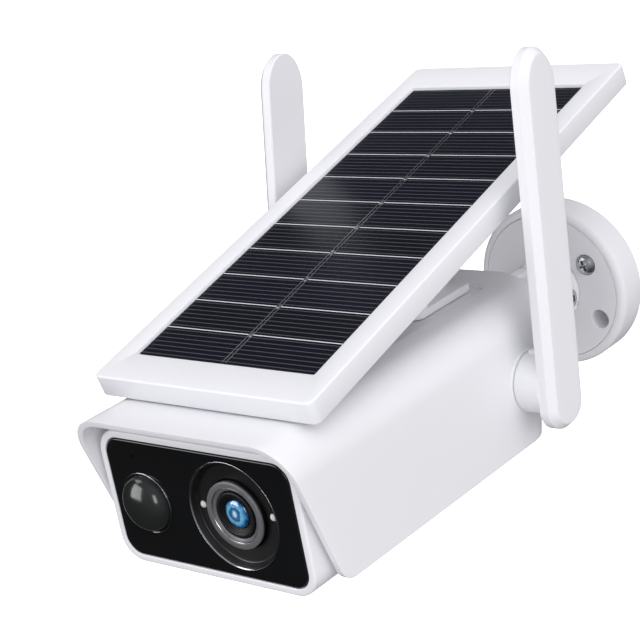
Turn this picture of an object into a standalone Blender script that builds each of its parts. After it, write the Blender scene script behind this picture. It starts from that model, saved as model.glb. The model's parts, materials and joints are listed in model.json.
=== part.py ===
"""Solar-powered security camera on a wall bracket.

Metres, +Z up. The origin is the centre of the bracket's back face, on the wall
plane y = 0. The camera looks along -Y.
"""
import math

import bmesh
import bpy
from mathutils import Matrix, Vector

MM = 0.001
FIT_GAP = 0.3 * MM

# wall bracket
BASE_RADIUS = 34 * MM
BASE_DEPTH = 14 * MM
BASE_FLOOR = 3 * MM
COVER_RADIUS = 30.3 * MM
COVER_THICKNESS = 2.6 * MM
WALL_HOLE_CIRCLE = 24.8 * MM
WALL_HOLE_RADIUS = 2.5 * MM
ACCESS_HOLE_RADIUS = 3.9 * MM
WALL_HOLE_ANGLES = (-30, 90, 210)
COVER_SCREW_CIRCLE = 21 * MM
COVER_SCREW_ANGLES = (30, 270)
COVER_SCREW_RADIUS = 1.3 * MM
SCREW_HEAD_RADIUS = 4.1 * MM
SCREW_HEAD_HEIGHT = 1.7 * MM
HUB_NECK_RADIUS = 12 * MM
HUB_FLANGE_RADIUS = 15 * MM
HUB_HEAD_HEIGHT = 3 * MM
KNUCKLE_RADIUS = 8 * MM
TONGUE_WIDTH = 14 * MM
EAR_THICKNESS = 6 * MM
TILT_BOLT_RADIUS = 2.8 * MM
ARM_LENGTH = 56.5 * MM
ARM_RADIUS = 7 * MM
STUD_RADIUS = 3.1 * MM
LOCK_NUT_RADIUS = 12 * MM
LOCK_NUT_THICKNESS = 7 * MM
REAR_BOSS_RADIUS = 13 * MM
REAR_BOSS_PROUD = 4.5 * MM
INSERT_RADIUS = 4.4 * MM
INSERT_LENGTH = 12 * MM

# camera front
PIR_RADIUS = 11 * MM
PIR_DROP = 0.9 * MM
PIR_DOME_HEIGHT = 5 * MM
PIR_EDGE_MARGIN = 3.9 * MM
PIR_TO_LENS = 9.5 * MM
LENS_RAISE = 0.3 * MM
LENS_EDGE_MARGIN = 8.1 * MM
CUP_BAND = 7.15 * MM
CUP_EDGE_MARGIN = 2.35 * MM
LENS_CUP_DEPTH = 3 * MM
LENS_RING_RADIUS = 11.95 * MM
LENS_BARREL_RADIUS = 8 * MM
LENS_GLASS_RADIUS = 4.95 * MM
LED_RADIUS = 1.45 * MM
LED_FROM_RING = 3.25 * MM
GLASS_THICKNESS = 2 * MM
GLASS_CORNER = 6.5 * MM
LIGHT_PORT_RADIUS = 0.6 * MM

# camera housing
HOUSING_DEPTH = 139 * MM
TUB_WALL = 2.75 * MM
TUB_REAR_SPACE = 34 * MM
HOOD_GAP = 2.2 * MM
HOOD_WALL = 2.3 * MM
HOOD_HEADROOM = 4.2 * MM
HOOD_SKIRT_RISE = 2.7 * MM
HOOD_CORNER_RADIUS = 15 * MM
HOOD_RIDGE_RADIUS = 13.4 * MM
HOOD_SETBACK = 2.1 * MM
HOOD_FRONT_SLOPE = 0.318
HOOD_REAR_SLOPE = 0.26
POCKET_DEPTH = 0.8 * MM
POCKET_HALF_WIDTH = 28 * MM
REAR_COVER_THICKNESS = 2 * MM
FLAP_WIDTH = 30 * MM
FLAP_DEPTH = 12 * MM
FLAP_THICKNESS = 2 * MM
BOARD_THICKNESS = 1.6 * MM

# antennas
ANTENNA_FROM_REAR = 18.7 * MM
ANTENNA_RAISE = 1 * MM
ANTENNA_CLEARANCE = 9.7 * MM
KNUCKLE_DRUM_RADIUS = 11 * MM
PADDLE_HALF_WIDTH = 10 * MM
PADDLE_THICKNESS = 6.4 * MM
PADDLE_UP = 117.5 * MM
PADDLE_DOWN = 16 * MM
PADDLE_CHAMFER = 2 * MM
SPIGOT_RADIUS = 6 * MM
LAND_PROUD = 0.4 * MM
LAND_LENGTH = 6 * MM
RIGHT_LEAN = math.radians(6.2)
LEFT_LEAN = math.radians(12.2)

# solar panel
CELL_ROWS = 11
CELL_WIDTH = 78 * MM
CELL_LENGTH = 15.6 * MM
CELL_GAP = 0.5 * MM
CELL_THICKNESS = 0.25 * MM
PANEL_SIDE_RIM = 8.4 * MM
PANEL_FRONT_RIM = 13.8 * MM
PANEL_REAR_RIM = 16.2 * MM
RECESS_BORDER = 1.1 * MM
RECESS_DEPTH = 0.8 * MM
PANEL_THICKNESS = 8.5 * MM
PANEL_WALL = 2.2 * MM
PANEL_CORNER = 2.8 * MM
PANEL_EDGE = 0.8 * MM
BACKSHEET_THICKNESS = 1.2 * MM
PANEL_BACK_THICKNESS = 1.8 * MM
PANEL_TILT = math.radians(14.74)
PANEL_OVERLAP = 22.6 * MM
PANEL_REST_GAP = 0.4 * MM
HINGE_DROP = 20.4 * MM
HINGE_PIN_RADIUS = 2.5 * MM
HINGE_KNUCKLE_RADIUS = 6.5 * MM
BRACKET_LUG_X = 8 * MM
BRACKET_LUG_THICKNESS = 5 * MM
BASE_EAR_THICKNESS = 4.5 * MM

# sizes that follow from the ones above
LENS_CUP_RADIUS = LENS_RING_RADIUS + CUP_BAND
LED_SPREAD = LENS_RING_RADIUS + LED_FROM_RING
GLASS_HEIGHT = 2 * (LENS_CUP_RADIUS + CUP_EDGE_MARGIN)
PIVOT_REACH = HUB_HEAD_HEIGHT + KNUCKLE_RADIUS
GLASS_WIDTH = (PIR_EDGE_MARGIN + 2 * PIR_RADIUS + PIR_TO_LENS
               + 2 * LENS_CUP_RADIUS + LENS_EDGE_MARGIN)
PIR_X = -GLASS_WIDTH / 2 + PIR_EDGE_MARGIN + PIR_RADIUS
LENS_X = GLASS_WIDTH / 2 - LENS_EDGE_MARGIN - LENS_CUP_RADIUS
TUB_HALF_WIDTH = GLASS_WIDTH / 2 + FIT_GAP + TUB_WALL
TUB_HALF_HEIGHT = GLASS_HEIGHT / 2 + FIT_GAP + TUB_WALL
TUB_CORNER = GLASS_CORNER + TUB_WALL
HOOD_HALF_WIDTH = TUB_HALF_WIDTH + HOOD_GAP + HOOD_WALL
HOOD_TOP = TUB_HALF_HEIGHT + HOOD_HEADROOM + HOOD_WALL
HOOD_BOTTOM = -TUB_HALF_HEIGHT + HOOD_SKIRT_RISE
PIVOT_Y = -(BASE_DEPTH + PIVOT_REACH)
BOSS_Y = PIVOT_Y - ARM_LENGTH
REAR_Y = BOSS_Y - REAR_BOSS_PROUD
FRONT_Y = REAR_Y - HOUSING_DEPTH
TUB_REAR_Y = REAR_Y - TUB_REAR_SPACE
ANTENNA_Y = REAR_Y - ANTENNA_FROM_REAR
PANEL_HALF_WIDTH = CELL_WIDTH / 2 + RECESS_BORDER + PANEL_SIDE_RIM
PADDLE_X = max(PANEL_HALF_WIDTH, HOOD_HALF_WIDTH) + ANTENNA_CLEARANCE
CELL_PITCH = CELL_LENGTH + CELL_GAP
CELL_FIELD = CELL_ROWS * CELL_PITCH - CELL_GAP
HINGE_V = CELL_FIELD / 2
PANEL_FRONT_V = -RECESS_BORDER - PANEL_FRONT_RIM
PANEL_REAR_V = CELL_FIELD + RECESS_BORDER + PANEL_REAR_RIM
PANEL_TOP_H = RECESS_DEPTH
PANEL_BOTTOM_H = RECESS_DEPTH - PANEL_THICKNESS

COLLECTION = "solar_security_camera"


# ---------------------------------------------------------------- helpers
def clear_scene():
    for item in list(bpy.data.objects):
        bpy.data.objects.remove(item, do_unlink=True)


def new_collection(name):
    collection = bpy.data.collections.new(name)
    bpy.context.scene.collection.children.link(collection)
    return collection


clear_scene()
PARTS = new_collection(COLLECTION)
CUTTERS = new_collection("cutters")
MATERIALS = {}
FRAMES = {}


def material(name, colour, roughness, metallic=0.0):
    finish = bpy.data.materials.new(name)
    finish.use_nodes = True
    shader = finish.node_tree.nodes["Principled BSDF"]
    shader.inputs["Base Color"].default_value = (*colour, 1.0)
    shader.inputs["Roughness"].default_value = roughness
    shader.inputs["Metallic"].default_value = metallic
    MATERIALS[name] = finish


def make_materials():
    material("white_housing", (0.86, 0.86, 0.87), 0.38)
    material("white_panel", (0.88, 0.88, 0.9), 0.42)
    material("black_glass", (0.008, 0.008, 0.009), 0.06)
    material("black_plastic", (0.015, 0.015, 0.017), 0.45)
    material("smoked_dome", (0.03, 0.04, 0.04), 0.08)
    material("grey_metal", (0.35, 0.35, 0.36), 0.3, 0.9)
    material("steel", (0.62, 0.62, 0.63), 0.25, 1.0)
    material("brass", (0.72, 0.55, 0.26), 0.3, 1.0)
    material("lens_glass", (0.05, 0.2, 0.45), 0.03)
    material("led_clear", (0.85, 0.85, 0.82), 0.15)
    material("silicon", (0.01, 0.012, 0.025), 0.15)
    material("silver_ribbon", (0.75, 0.75, 0.75), 0.3, 1.0)
    material("backsheet", (0.85, 0.85, 0.86), 0.5)
    material("rubber", (0.03, 0.03, 0.03), 0.75)
    material("circuit_board", (0.02, 0.16, 0.06), 0.45)
    material("battery_wrap", (0.03, 0.22, 0.5), 0.35)


def add_frame(name, location, parent=None, tilt=0.0):
    """An empty on a joint's axis; what turns with the joint hangs from it."""
    world = Matrix.Translation(location) @ Matrix.Rotation(tilt, 4, "X")
    empty = bpy.data.objects.new(name, None)
    PARTS.objects.link(empty)
    FRAMES[name] = (empty, world)
    if parent:
        empty.parent = FRAMES[parent][0]
        empty.matrix_basis = FRAMES[parent][1].inverted() @ world
    else:
        empty.matrix_basis = world


def place(item, frame, location=(0, 0, 0), turn=None, local=False):
    """Hang an object from a frame, at a world place or at a place in the frame."""
    spot = Matrix.Translation(location) @ (turn or Matrix.Identity(4))
    if frame:
        item.parent = FRAMES[frame][0]
        item.matrix_basis = spot if local else FRAMES[frame][1].inverted() @ spot
    else:
        item.matrix_basis = spot
    return item


def make_object(name, mesh, finish=None):
    item = bpy.data.objects.new(name, mesh)
    if finish:
        PARTS.objects.link(item)
        mesh.materials.append(MATERIALS[finish])
    else:
        CUTTERS.objects.link(item)
        item.hide_render = True
        item.display_type = "WIRE"
    return item


def mesh_of(name, shape):
    bmesh.ops.recalc_face_normals(shape, faces=shape.faces)
    mesh = bpy.data.meshes.new(name)
    shape.to_mesh(mesh)
    shape.free()
    return mesh


def smooth(item, angle=35):
    item.data.shade_smooth()
    item.data.set_sharp_from_angle(angle=math.radians(angle))
    return item


def block(name, size, finish=None, corner=0.0, axis=1, segments=4, edge=0.0):
    """A box with the four edges along one axis rounded, and a small edge break."""
    shape = bmesh.new()
    bmesh.ops.create_cube(shape, size=1.0)
    bmesh.ops.scale(shape, vec=Vector(size), verts=shape.verts)
    if corner:
        along = [e for e in shape.edges
                 if abs((e.verts[0].co - e.verts[1].co).normalized()[axis]) > 0.99]
        bmesh.ops.bevel(shape, geom=along, offset=corner, segments=segments,
                        profile=0.5, affect="EDGES")
    if edge:
        rim = [e for e in shape.edges if len(e.link_faces) == 2
               and e.calc_face_angle() > math.radians(60)]
        bmesh.ops.bevel(shape, geom=rim, offset=edge, segments=2,
                        profile=0.5, affect="EDGES")
    return smooth(make_object(name, mesh_of(name, shape), finish))


def rod(name, radius, length, finish=None, sides=32):
    """A cylinder along its own Z."""
    shape = bmesh.new()
    bmesh.ops.create_cone(shape, cap_ends=True, segments=sides, radius1=radius,
                          radius2=radius, depth=length)
    return smooth(make_object(name, mesh_of(name, shape), finish))


def turned(name, profile, finish=None, steps=40):
    """A profile of (radius, height) turned about its own Z."""
    mesh = bpy.data.meshes.new(name)
    points = [(radius, 0.0, height) for radius, height in profile]
    links = [(i, i + 1) for i in range(len(points) - 1)]
    if profile[0][0] > 0:
        links.append((len(points) - 1, 0))
    mesh.from_pydata(points, links, [])
    item = make_object(name, mesh, finish)
    screw = item.modifiers.new("turn", "SCREW")
    screw.steps = steps
    screw.render_steps = steps
    screw.use_merge_vertices = True
    screw.merge_threshold = 0.00001
    screw.use_smooth_shade = False
    return item


def arc(centre, radius, start, end, count):
    """Profile points along an arc, by angles in degrees."""
    turns = [math.radians(start + (end - start) * i / count) for i in range(count + 1)]
    return [(centre[0] + radius * math.cos(a), centre[1] + radius * math.sin(a))
            for a in turns]


def combine(item, tool, operation, solver):
    step = item.modifiers.new(tool.name, "BOOLEAN")
    step.operation = operation
    step.solver = solver
    step.object = tool


def cut(item, *tools, solver="EXACT"):
    for tool in tools:
        combine(item, tool, "DIFFERENCE", solver)


def join(item, *tools, solver="EXACT"):
    for tool in tools:
        combine(item, tool, "UNION", solver)


ALONG_FRONT = Matrix.Rotation(math.radians(90), 4, "X")
ALONG_X = Matrix.Rotation(math.radians(90), 4, "Y")


def round_spot(circle, degrees):
    angle = math.radians(degrees)
    return circle * math.cos(angle), circle * math.sin(angle)


def ring(inner, outer, low, high):
    """Profile of a plain ring."""
    return [(outer, high), (outer, low), (inner, low), (inner, high)]


# ---------------------------------------------------------------- wall bracket
def make_frames():
    add_frame("swivel_axis", (0, -BASE_DEPTH, 0))
    add_frame("tilt_axis", (0, PIVOT_Y, 0), "swivel_axis")
    add_frame("lock_nut_axis", (0, BOSS_Y, 0), "tilt_axis")
    add_frame("roll_axis", (0, BOSS_Y, 0), "tilt_axis")
    add_frame("panel_axis", panel_hinge(), "roll_axis", PANEL_TILT)
    for side, sign, lean in (("left", -1, LEFT_LEAN), ("right", 1, RIGHT_LEAN)):
        spot = (sign * PADDLE_X, ANTENNA_Y, ANTENNA_RAISE)
        add_frame("antenna_axis_" + side, spot, "roll_axis", -lean)
    add_frame("flap_axis", flap_hinge(), "roll_axis")


def panel_hinge():
    """Hinge axis at the middle of the cell field, with the front edge on the hood."""
    along = Vector((0, math.cos(PANEL_TILT), math.sin(PANEL_TILT)))
    normal = Vector((0, -math.sin(PANEL_TILT), math.cos(PANEL_TILT)))
    edge_z = PANEL_FRONT_V * along.z + PANEL_BOTTOM_H * normal.z
    start = Vector((0, FRONT_Y + PANEL_OVERLAP, HOOD_TOP + PANEL_REST_GAP - edge_z))
    return start + HINGE_V * along - HINGE_DROP * normal


def make_wall_base():
    seat = COVER_RADIUS + FIT_GAP
    ledge_z = BASE_DEPTH - COVER_THICKNESS - FIT_GAP
    rim_round = BASE_RADIUS - seat - 0.6 * MM
    profile = [(0, BASE_FLOOR), (seat - 1.6 * MM, BASE_FLOOR), (seat - 1.6 * MM, ledge_z),
               (seat, ledge_z), (seat, BASE_DEPTH)]
    profile += arc((BASE_RADIUS - rim_round, BASE_DEPTH - rim_round), rim_round, 90, 0, 4)
    profile += [(BASE_RADIUS, 0.6 * MM), (BASE_RADIUS - 0.6 * MM, 0), (0, 0)]
    base = place(turned("wall_base", profile, "white_housing", 40), None, turn=ALONG_FRONT)
    for index, degrees in enumerate(COVER_SCREW_ANGLES):
        x, z = round_spot(COVER_SCREW_CIRCLE, degrees)
        post_length = ledge_z - BASE_FLOOR + 1 * MM
        post = rod(f"post_{index}", 3.4 * MM, post_length, sides=16)
        place(post, None, (x, -ledge_z + post_length / 2, z), ALONG_FRONT)
        join(base, post)
        pilot = rod(f"pilot_{index}", COVER_SCREW_RADIUS + FIT_GAP, 8 * MM, sides=12)
        place(pilot, None, (x, -ledge_z, z), ALONG_FRONT)
        cut(base, pilot)
    for index, degrees in enumerate(WALL_HOLE_ANGLES):
        x, z = round_spot(WALL_HOLE_CIRCLE, degrees)
        hole = rod(f"wall_hole_{index}", WALL_HOLE_RADIUS, 3 * BASE_FLOOR, sides=16)
        place(hole, None, (x, 0, z), ALONG_FRONT)
        cut(base, hole)


def make_base_cover():
    low = BASE_DEPTH - COVER_THICKNESS
    profile = ring(HUB_NECK_RADIUS + FIT_GAP, COVER_RADIUS, low, BASE_DEPTH)
    cover = place(turned("base_cover", profile, "white_housing", 40), None, turn=ALONG_FRONT)
    for index, degrees in enumerate(WALL_HOLE_ANGLES):
        x, z = round_spot(WALL_HOLE_CIRCLE, degrees)
        hole = rod(f"access_{index}", ACCESS_HOLE_RADIUS, 3 * COVER_THICKNESS, sides=20)
        place(hole, None, (x, -BASE_DEPTH, z), ALONG_FRONT)
        cut(cover, hole)
    for index, degrees in enumerate(COVER_SCREW_ANGLES):
        x, z = round_spot(COVER_SCREW_CIRCLE, degrees)
        shank = rod(f"shank_hole_{index}", COVER_SCREW_RADIUS + FIT_GAP, 3 * COVER_THICKNESS,
                    sides=12)
        place(shank, None, (x, -BASE_DEPTH, z), ALONG_FRONT)
        seat = rod(f"head_seat_{index}", SCREW_HEAD_RADIUS + FIT_GAP, 2 * MM, sides=16)
        place(seat, None, (x, -BASE_DEPTH, z), ALONG_FRONT)
        cut(cover, shank, seat)


def make_cross_screw(name, x, z, face, length):
    """A dome-headed cross-head screw, its head seated 1 mm into the face."""
    under = -1 * MM + FIT_GAP
    top = under + SCREW_HEAD_HEIGHT
    profile = [(0, top), (0.6 * SCREW_HEAD_RADIUS, top - 0.15 * MM),
               (0.9 * SCREW_HEAD_RADIUS, top - 0.6 * MM), (SCREW_HEAD_RADIUS, top - 1.1 * MM),
               (SCREW_HEAD_RADIUS, under), (COVER_SCREW_RADIUS, under),
               (COVER_SCREW_RADIUS, 0.8 * MM - length), (0.4 * MM, -length), (0, -length)]
    screw = turned(name, profile, "steel", 16)
    place(screw, None, (x, face, z), ALONG_FRONT)
    for index, degrees in enumerate((20, 110)):
        slot = block(f"{name}_slot_{index}", (4.2 * MM, 0.9 * MM, 1.6 * MM))
        turn = ALONG_FRONT @ Matrix.Rotation(math.radians(degrees), 4, "Z")
        place(slot, None, (x, face - top, z), turn)
        cut(screw, slot)


def make_swivel_hub():
    start = BASE_FLOOR + 1 * MM
    flange_top = BASE_DEPTH - COVER_THICKNESS - FIT_GAP
    head_low = BASE_DEPTH + FIT_GAP
    head_top = BASE_DEPTH + HUB_HEAD_HEIGHT
    head_radius = TONGUE_WIDTH / 2 + EAR_THICKNESS + 0.8 * MM
    profile = [(0, head_top), (head_radius - 1 * MM, head_top), (head_radius, head_top - 1 * MM),
               (head_radius, head_low), (HUB_NECK_RADIUS, head_low),
               (HUB_NECK_RADIUS, flange_top), (HUB_FLANGE_RADIUS, flange_top),
               (HUB_FLANGE_RADIUS, start), (0, start)]
    hub = turned("swivel_hub", profile, "white_housing", 28)
    place(hub, "swivel_axis", turn=ALONG_FRONT)
    for sign in (-1, 1):
        x = sign * (TONGUE_WIDTH + EAR_THICKNESS) / 2
        root = block(f"ear_root_{sign}", (EAR_THICKNESS, PIVOT_REACH - 1 * MM, 2 * KNUCKLE_RADIUS))
        place(root, "swivel_axis", (x, PIVOT_Y + (PIVOT_REACH - 1 * MM) / 2, 0))
        nose = rod(f"ear_nose_{sign}", KNUCKLE_RADIUS, EAR_THICKNESS, sides=20)
        place(nose, "swivel_axis", (x, PIVOT_Y, 0), ALONG_X)
        join(hub, root, nose, solver="MANIFOLD")
    bolt_hole = rod("hub_bolt_hole", TILT_BOLT_RADIUS + FIT_GAP, 60 * MM, sides=20)
    place(bolt_hole, "swivel_axis", (0, PIVOT_Y, 0), ALONG_X)
    cut(hub, bolt_hole, solver="MANIFOLD")


def make_tilt_arm():
    tongue = TONGUE_WIDTH - 2 * FIT_GAP
    end = ARM_LENGTH - LOCK_NUT_THICKNESS - 2 * FIT_GAP
    flange = LOCK_NUT_RADIUS - 3 * MM
    profile = [(0, end), (flange, end), (flange, end - 3 * MM), (ARM_RADIUS, end - 9 * MM),
               (ARM_RADIUS, 4 * MM), (0, 4 * MM)]
    arm = place(turned("tilt_arm", profile, "white_housing", 24), "tilt_axis",
                (0, PIVOT_Y, 0), ALONG_FRONT)
    nose = rod("tongue_nose", KNUCKLE_RADIUS - 0.8 * MM, tongue, sides=20)
    place(nose, "tilt_axis", (0, PIVOT_Y, 0), ALONG_X)
    root = block("tongue_root", (tongue, 11 * MM, 2 * KNUCKLE_RADIUS - 1.6 * MM))
    place(root, "tilt_axis", (0, PIVOT_Y - 5.5 * MM, 0))
    join(arm, root, nose)
    hole = rod("arm_bolt_hole", TILT_BOLT_RADIUS + FIT_GAP, 60 * MM, sides=20)
    place(hole, "tilt_axis", (0, PIVOT_Y, 0), ALONG_X)
    socket = rod("arm_stud_hole", STUD_RADIUS + FIT_GAP, 24 * MM, sides=16)
    place(socket, "tilt_axis", (0, PIVOT_Y - end, 0), ALONG_FRONT)
    cut(arm, hole, socket)


def make_tilt_bolt():
    reach = TONGUE_WIDTH / 2 + EAR_THICKNESS
    low = -reach - 5.5 * MM
    head = reach + FIT_GAP
    profile = [(0, head + 4 * MM), (3.8 * MM, head + 4 * MM), (4.6 * MM, head + 3.4 * MM),
               (4.6 * MM, head), (TILT_BOLT_RADIUS, head), (TILT_BOLT_RADIUS, low), (0, low)]
    place(turned("tilt_bolt", profile, "steel", 16), "swivel_axis", (0, PIVOT_Y, 0), ALONG_X)
    nut = rod("tilt_nut", 5.2 * MM, 4 * MM, "steel", sides=6)
    place(nut, "swivel_axis", (-reach - FIT_GAP - 2 * MM, PIVOT_Y, 0), ALONG_X)
    bore = rod("tilt_nut_bore", TILT_BOLT_RADIUS + FIT_GAP, 20 * MM, sides=16)
    place(bore, "swivel_axis", (-reach, PIVOT_Y, 0), ALONG_X)
    cut(nut, bore)


def make_camera_stud():
    length = 10 * MM + LOCK_NUT_THICKNESS + INSERT_LENGTH - 2 * MM
    stud = rod("camera_stud", STUD_RADIUS, length, "steel", sides=16)
    low_y = PIVOT_Y - (ARM_LENGTH - LOCK_NUT_THICKNESS - 2 * FIT_GAP) + 10 * MM
    place(stud, "tilt_axis", (0, low_y - length / 2, 0), ALONG_FRONT)


def make_lock_nut():
    """A ribbed hand nut between the arm and the camera's rear boss."""
    nut = rod("lock_nut", LOCK_NUT_RADIUS, LOCK_NUT_THICKNESS, "white_housing", sides=36)
    middle = BOSS_Y + FIT_GAP + LOCK_NUT_THICKNESS / 2
    place(nut, "lock_nut_axis", (0, middle, 0), ALONG_FRONT)
    bore = rod("lock_nut_bore", STUD_RADIUS + FIT_GAP, 3 * LOCK_NUT_THICKNESS, sides=16)
    place(bore, "lock_nut_axis", (0, middle, 0), ALONG_FRONT)
    cut(nut, bore)
    for index in range(9):
        x, z = round_spot(LOCK_NUT_RADIUS + 0.9 * MM, index * 40)
        flute = rod(f"flute_{index}", 2 * MM, 3 * LOCK_NUT_THICKNESS, sides=8)
        place(flute, "lock_nut_axis", (x, middle, z), ALONG_FRONT)
        cut(nut, flute)


# ---------------------------------------------------------------- housing
def hood_front(z):
    """The lip leans forward with height, past the glass at the top and behind it at the foot."""
    return FRONT_Y + HOOD_SETBACK - HOOD_FRONT_SLOPE * z


def make_hood():
    """An open-bottomed hood: its front slopes forward and its rear slopes back."""
    shape = bmesh.new()
    bmesh.ops.create_cube(shape, size=1.0)
    for vert in shape.verts:
        front = vert.co.y < 0
        top = vert.co.z > 0
        z = HOOD_TOP if top else HOOD_BOTTOM
        vert.co.x = math.copysign(HOOD_HALF_WIDTH, vert.co.x)
        vert.co.z = z
        vert.co.y = hood_front(z) if front else REAR_Y + HOOD_REAR_SLOPE * z
    upright = [e for e in shape.edges
               if all(v.co.y > (FRONT_Y + REAR_Y) / 2 for v in e.verts)
               and abs(e.verts[0].co.x - e.verts[1].co.x) < MM]
    bmesh.ops.bevel(shape, geom=upright, offset=HOOD_CORNER_RADIUS, segments=5,
                    profile=0.5, affect="EDGES")
    ridge = [e for e in shape.edges
             if all(v.co.z > HOOD_TOP - MM for v in e.verts)
             and all(abs(v.co.x) > HOOD_HALF_WIDTH - HOOD_CORNER_RADIUS - MM for v in e.verts)
             and any(abs(v.co.y - hood_front(HOOD_TOP)) > MM for v in e.verts)]
    bmesh.ops.bevel(shape, geom=ridge, offset=HOOD_RIDGE_RADIUS, segments=5,
                    profile=0.5, affect="EDGES", clamp_overlap=True)
    bmesh.ops.recalc_face_normals(shape, faces=shape.faces)
    shape.normal_update()
    openings = [f for f in shape.faces
                if f.normal.z < -0.9 or (f.normal.y < -0.7 and len(f.verts) > 4)]
    bmesh.ops.delete(shape, geom=openings, context="FACES")
    mesh = bpy.data.meshes.new("hood_shell")
    shape.to_mesh(mesh)
    shape.free()
    hood = make_object("hood_shell", mesh, "white_housing")
    place(hood, "roll_axis")
    wall = hood.modifiers.new("wall", "SOLIDIFY")
    wall.thickness = HOOD_WALL
    wall.offset = -1
    wall.use_even_offset = True
    return hood


def finish_hood(hood):
    boss_length = REAR_BOSS_PROUD + 11 * MM
    boss = rod("rear_boss", REAR_BOSS_RADIUS, boss_length, sides=24)
    place(boss, "roll_axis", (0, BOSS_Y - boss_length / 2, 0), ALONG_FRONT)
    join(hood, boss)
    for sign in (-1, 1):
        land = rod(f"antenna_land_{sign}", KNUCKLE_DRUM_RADIUS + 0.7 * MM, LAND_LENGTH, sides=24)
        x = sign * (HOOD_HALF_WIDTH + LAND_PROUD - LAND_LENGTH / 2)
        place(land, "roll_axis", (x, ANTENNA_Y, ANTENNA_RAISE), ALONG_X)
        join(hood, land)
        hole = rod(f"spigot_hole_{sign}", SPIGOT_RADIUS + FIT_GAP, 30 * MM, sides=20)
        place(hole, "roll_axis", (sign * HOOD_HALF_WIDTH, ANTENNA_Y, ANTENNA_RAISE), ALONG_X)
        cut(hood, hole)
    bore = rod("insert_hole", INSERT_RADIUS + FIT_GAP, 60 * MM, sides=20)
    place(bore, "roll_axis", (0, BOSS_Y, 0), ALONG_FRONT)
    front_y, rear_y = pocket_span()
    pocket = block("pocket", (2 * POCKET_HALF_WIDTH, rear_y - front_y, 2 * POCKET_DEPTH),
                   corner=4 * MM, axis=2)
    place(pocket, "roll_axis", (0, (front_y + rear_y) / 2, HOOD_TOP))
    cut(hood, bore, pocket)


def make_rear_cover():
    """The plate that closes the hood's underside behind the tub."""
    low = HOOD_BOTTOM + 1 * MM
    front = TUB_REAR_Y + FIT_GAP
    rear = REAR_Y + HOOD_REAR_SLOPE * low - HOOD_WALL - 2 * FIT_GAP
    shape = bmesh.new()
    bmesh.ops.create_cube(shape, size=1.0)
    size = Vector((2 * (HOOD_HALF_WIDTH - HOOD_WALL - FIT_GAP), rear - front,
                   REAR_COVER_THICKNESS))
    bmesh.ops.scale(shape, vec=size, verts=shape.verts)
    corners = [e for e in shape.edges if e.verts[0].co.y > 0 and e.verts[1].co.y > 0
               and abs(e.verts[0].co.x - e.verts[1].co.x) < MM]
    bmesh.ops.bevel(shape, geom=corners, offset=HOOD_CORNER_RADIUS - HOOD_WALL, segments=5,
                    profile=0.5, affect="EDGES")
    cover = smooth(make_object("rear_cover", mesh_of("rear_cover", shape), "white_housing"))
    place(cover, "roll_axis", (0, (front + rear) / 2, low + REAR_COVER_THICKNESS / 2))


def pocket_span():
    hinge = panel_hinge()
    return hinge.y - 50 * MM, hinge.y + 18 * MM


def make_stud_insert():
    profile = ring(STUD_RADIUS + FIT_GAP, INSERT_RADIUS, 0, INSERT_LENGTH)
    place(turned("stud_insert", profile, "brass", 20), "roll_axis",
          (0, BOSS_Y - 0.5 * MM, 0), ALONG_FRONT)


def make_inner_housing():
    """A tub with rounded long edges, open at the front, where its rim is the bezel."""
    depth = TUB_REAR_Y - FRONT_Y
    shape = bmesh.new()
    bmesh.ops.create_cube(shape, size=1.0)
    size = Vector((2 * TUB_HALF_WIDTH, depth, 2 * TUB_HALF_HEIGHT))
    bmesh.ops.scale(shape, vec=size, verts=shape.verts)
    along = [e for e in shape.edges if abs(e.verts[0].co.y - e.verts[1].co.y) > MM]
    bmesh.ops.bevel(shape, geom=along, offset=TUB_CORNER, segments=5, profile=0.5,
                    affect="EDGES")
    bmesh.ops.delete(shape, geom=[f for f in shape.faces if f.normal.y < -0.9],
                     context="FACES")
    mesh = bpy.data.meshes.new("inner_housing")
    shape.to_mesh(mesh)
    shape.free()
    tub = make_object("inner_housing", mesh, "white_housing")
    place(tub, "roll_axis", (0, (FRONT_Y + TUB_REAR_Y) / 2, 0))
    wall = tub.modifiers.new("wall", "SOLIDIFY")
    wall.thickness = TUB_WALL
    wall.offset = -1
    wall.use_even_offset = True
    hinge = flap_hinge()
    mouth = block("service_mouth", (FLAP_WIDTH + 2 * FIT_GAP, FLAP_DEPTH + 2 * FIT_GAP, 12 * MM),
                  corner=1.6 * MM, axis=2)
    mouth_y = hinge.y + FLAP_THICKNESS / 2 - FLAP_DEPTH / 2
    place(mouth, "roll_axis", (hinge.x, mouth_y, hinge.z))
    cut(tub, mouth)
    speaker_x, speaker_y = speaker_spot()
    for column in range(-2, 3):
        for row in range(-1, 2):
            slot = block(f"speaker_slot_{column}_{row}", (1.2 * MM, 4 * MM, 12 * MM))
            place(slot, "roll_axis", (speaker_x + column * 3 * MM, speaker_y + row * 6 * MM,
                                      -TUB_HALF_HEIGHT))
            cut(tub, slot)


def flap_hinge():
    return Vector((TUB_HALF_WIDTH / 2, FRONT_Y + 52 * MM, -TUB_HALF_HEIGHT + FLAP_THICKNESS / 2))


def speaker_spot():
    return -TUB_HALF_WIDTH / 2, FRONT_Y + 38 * MM


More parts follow.
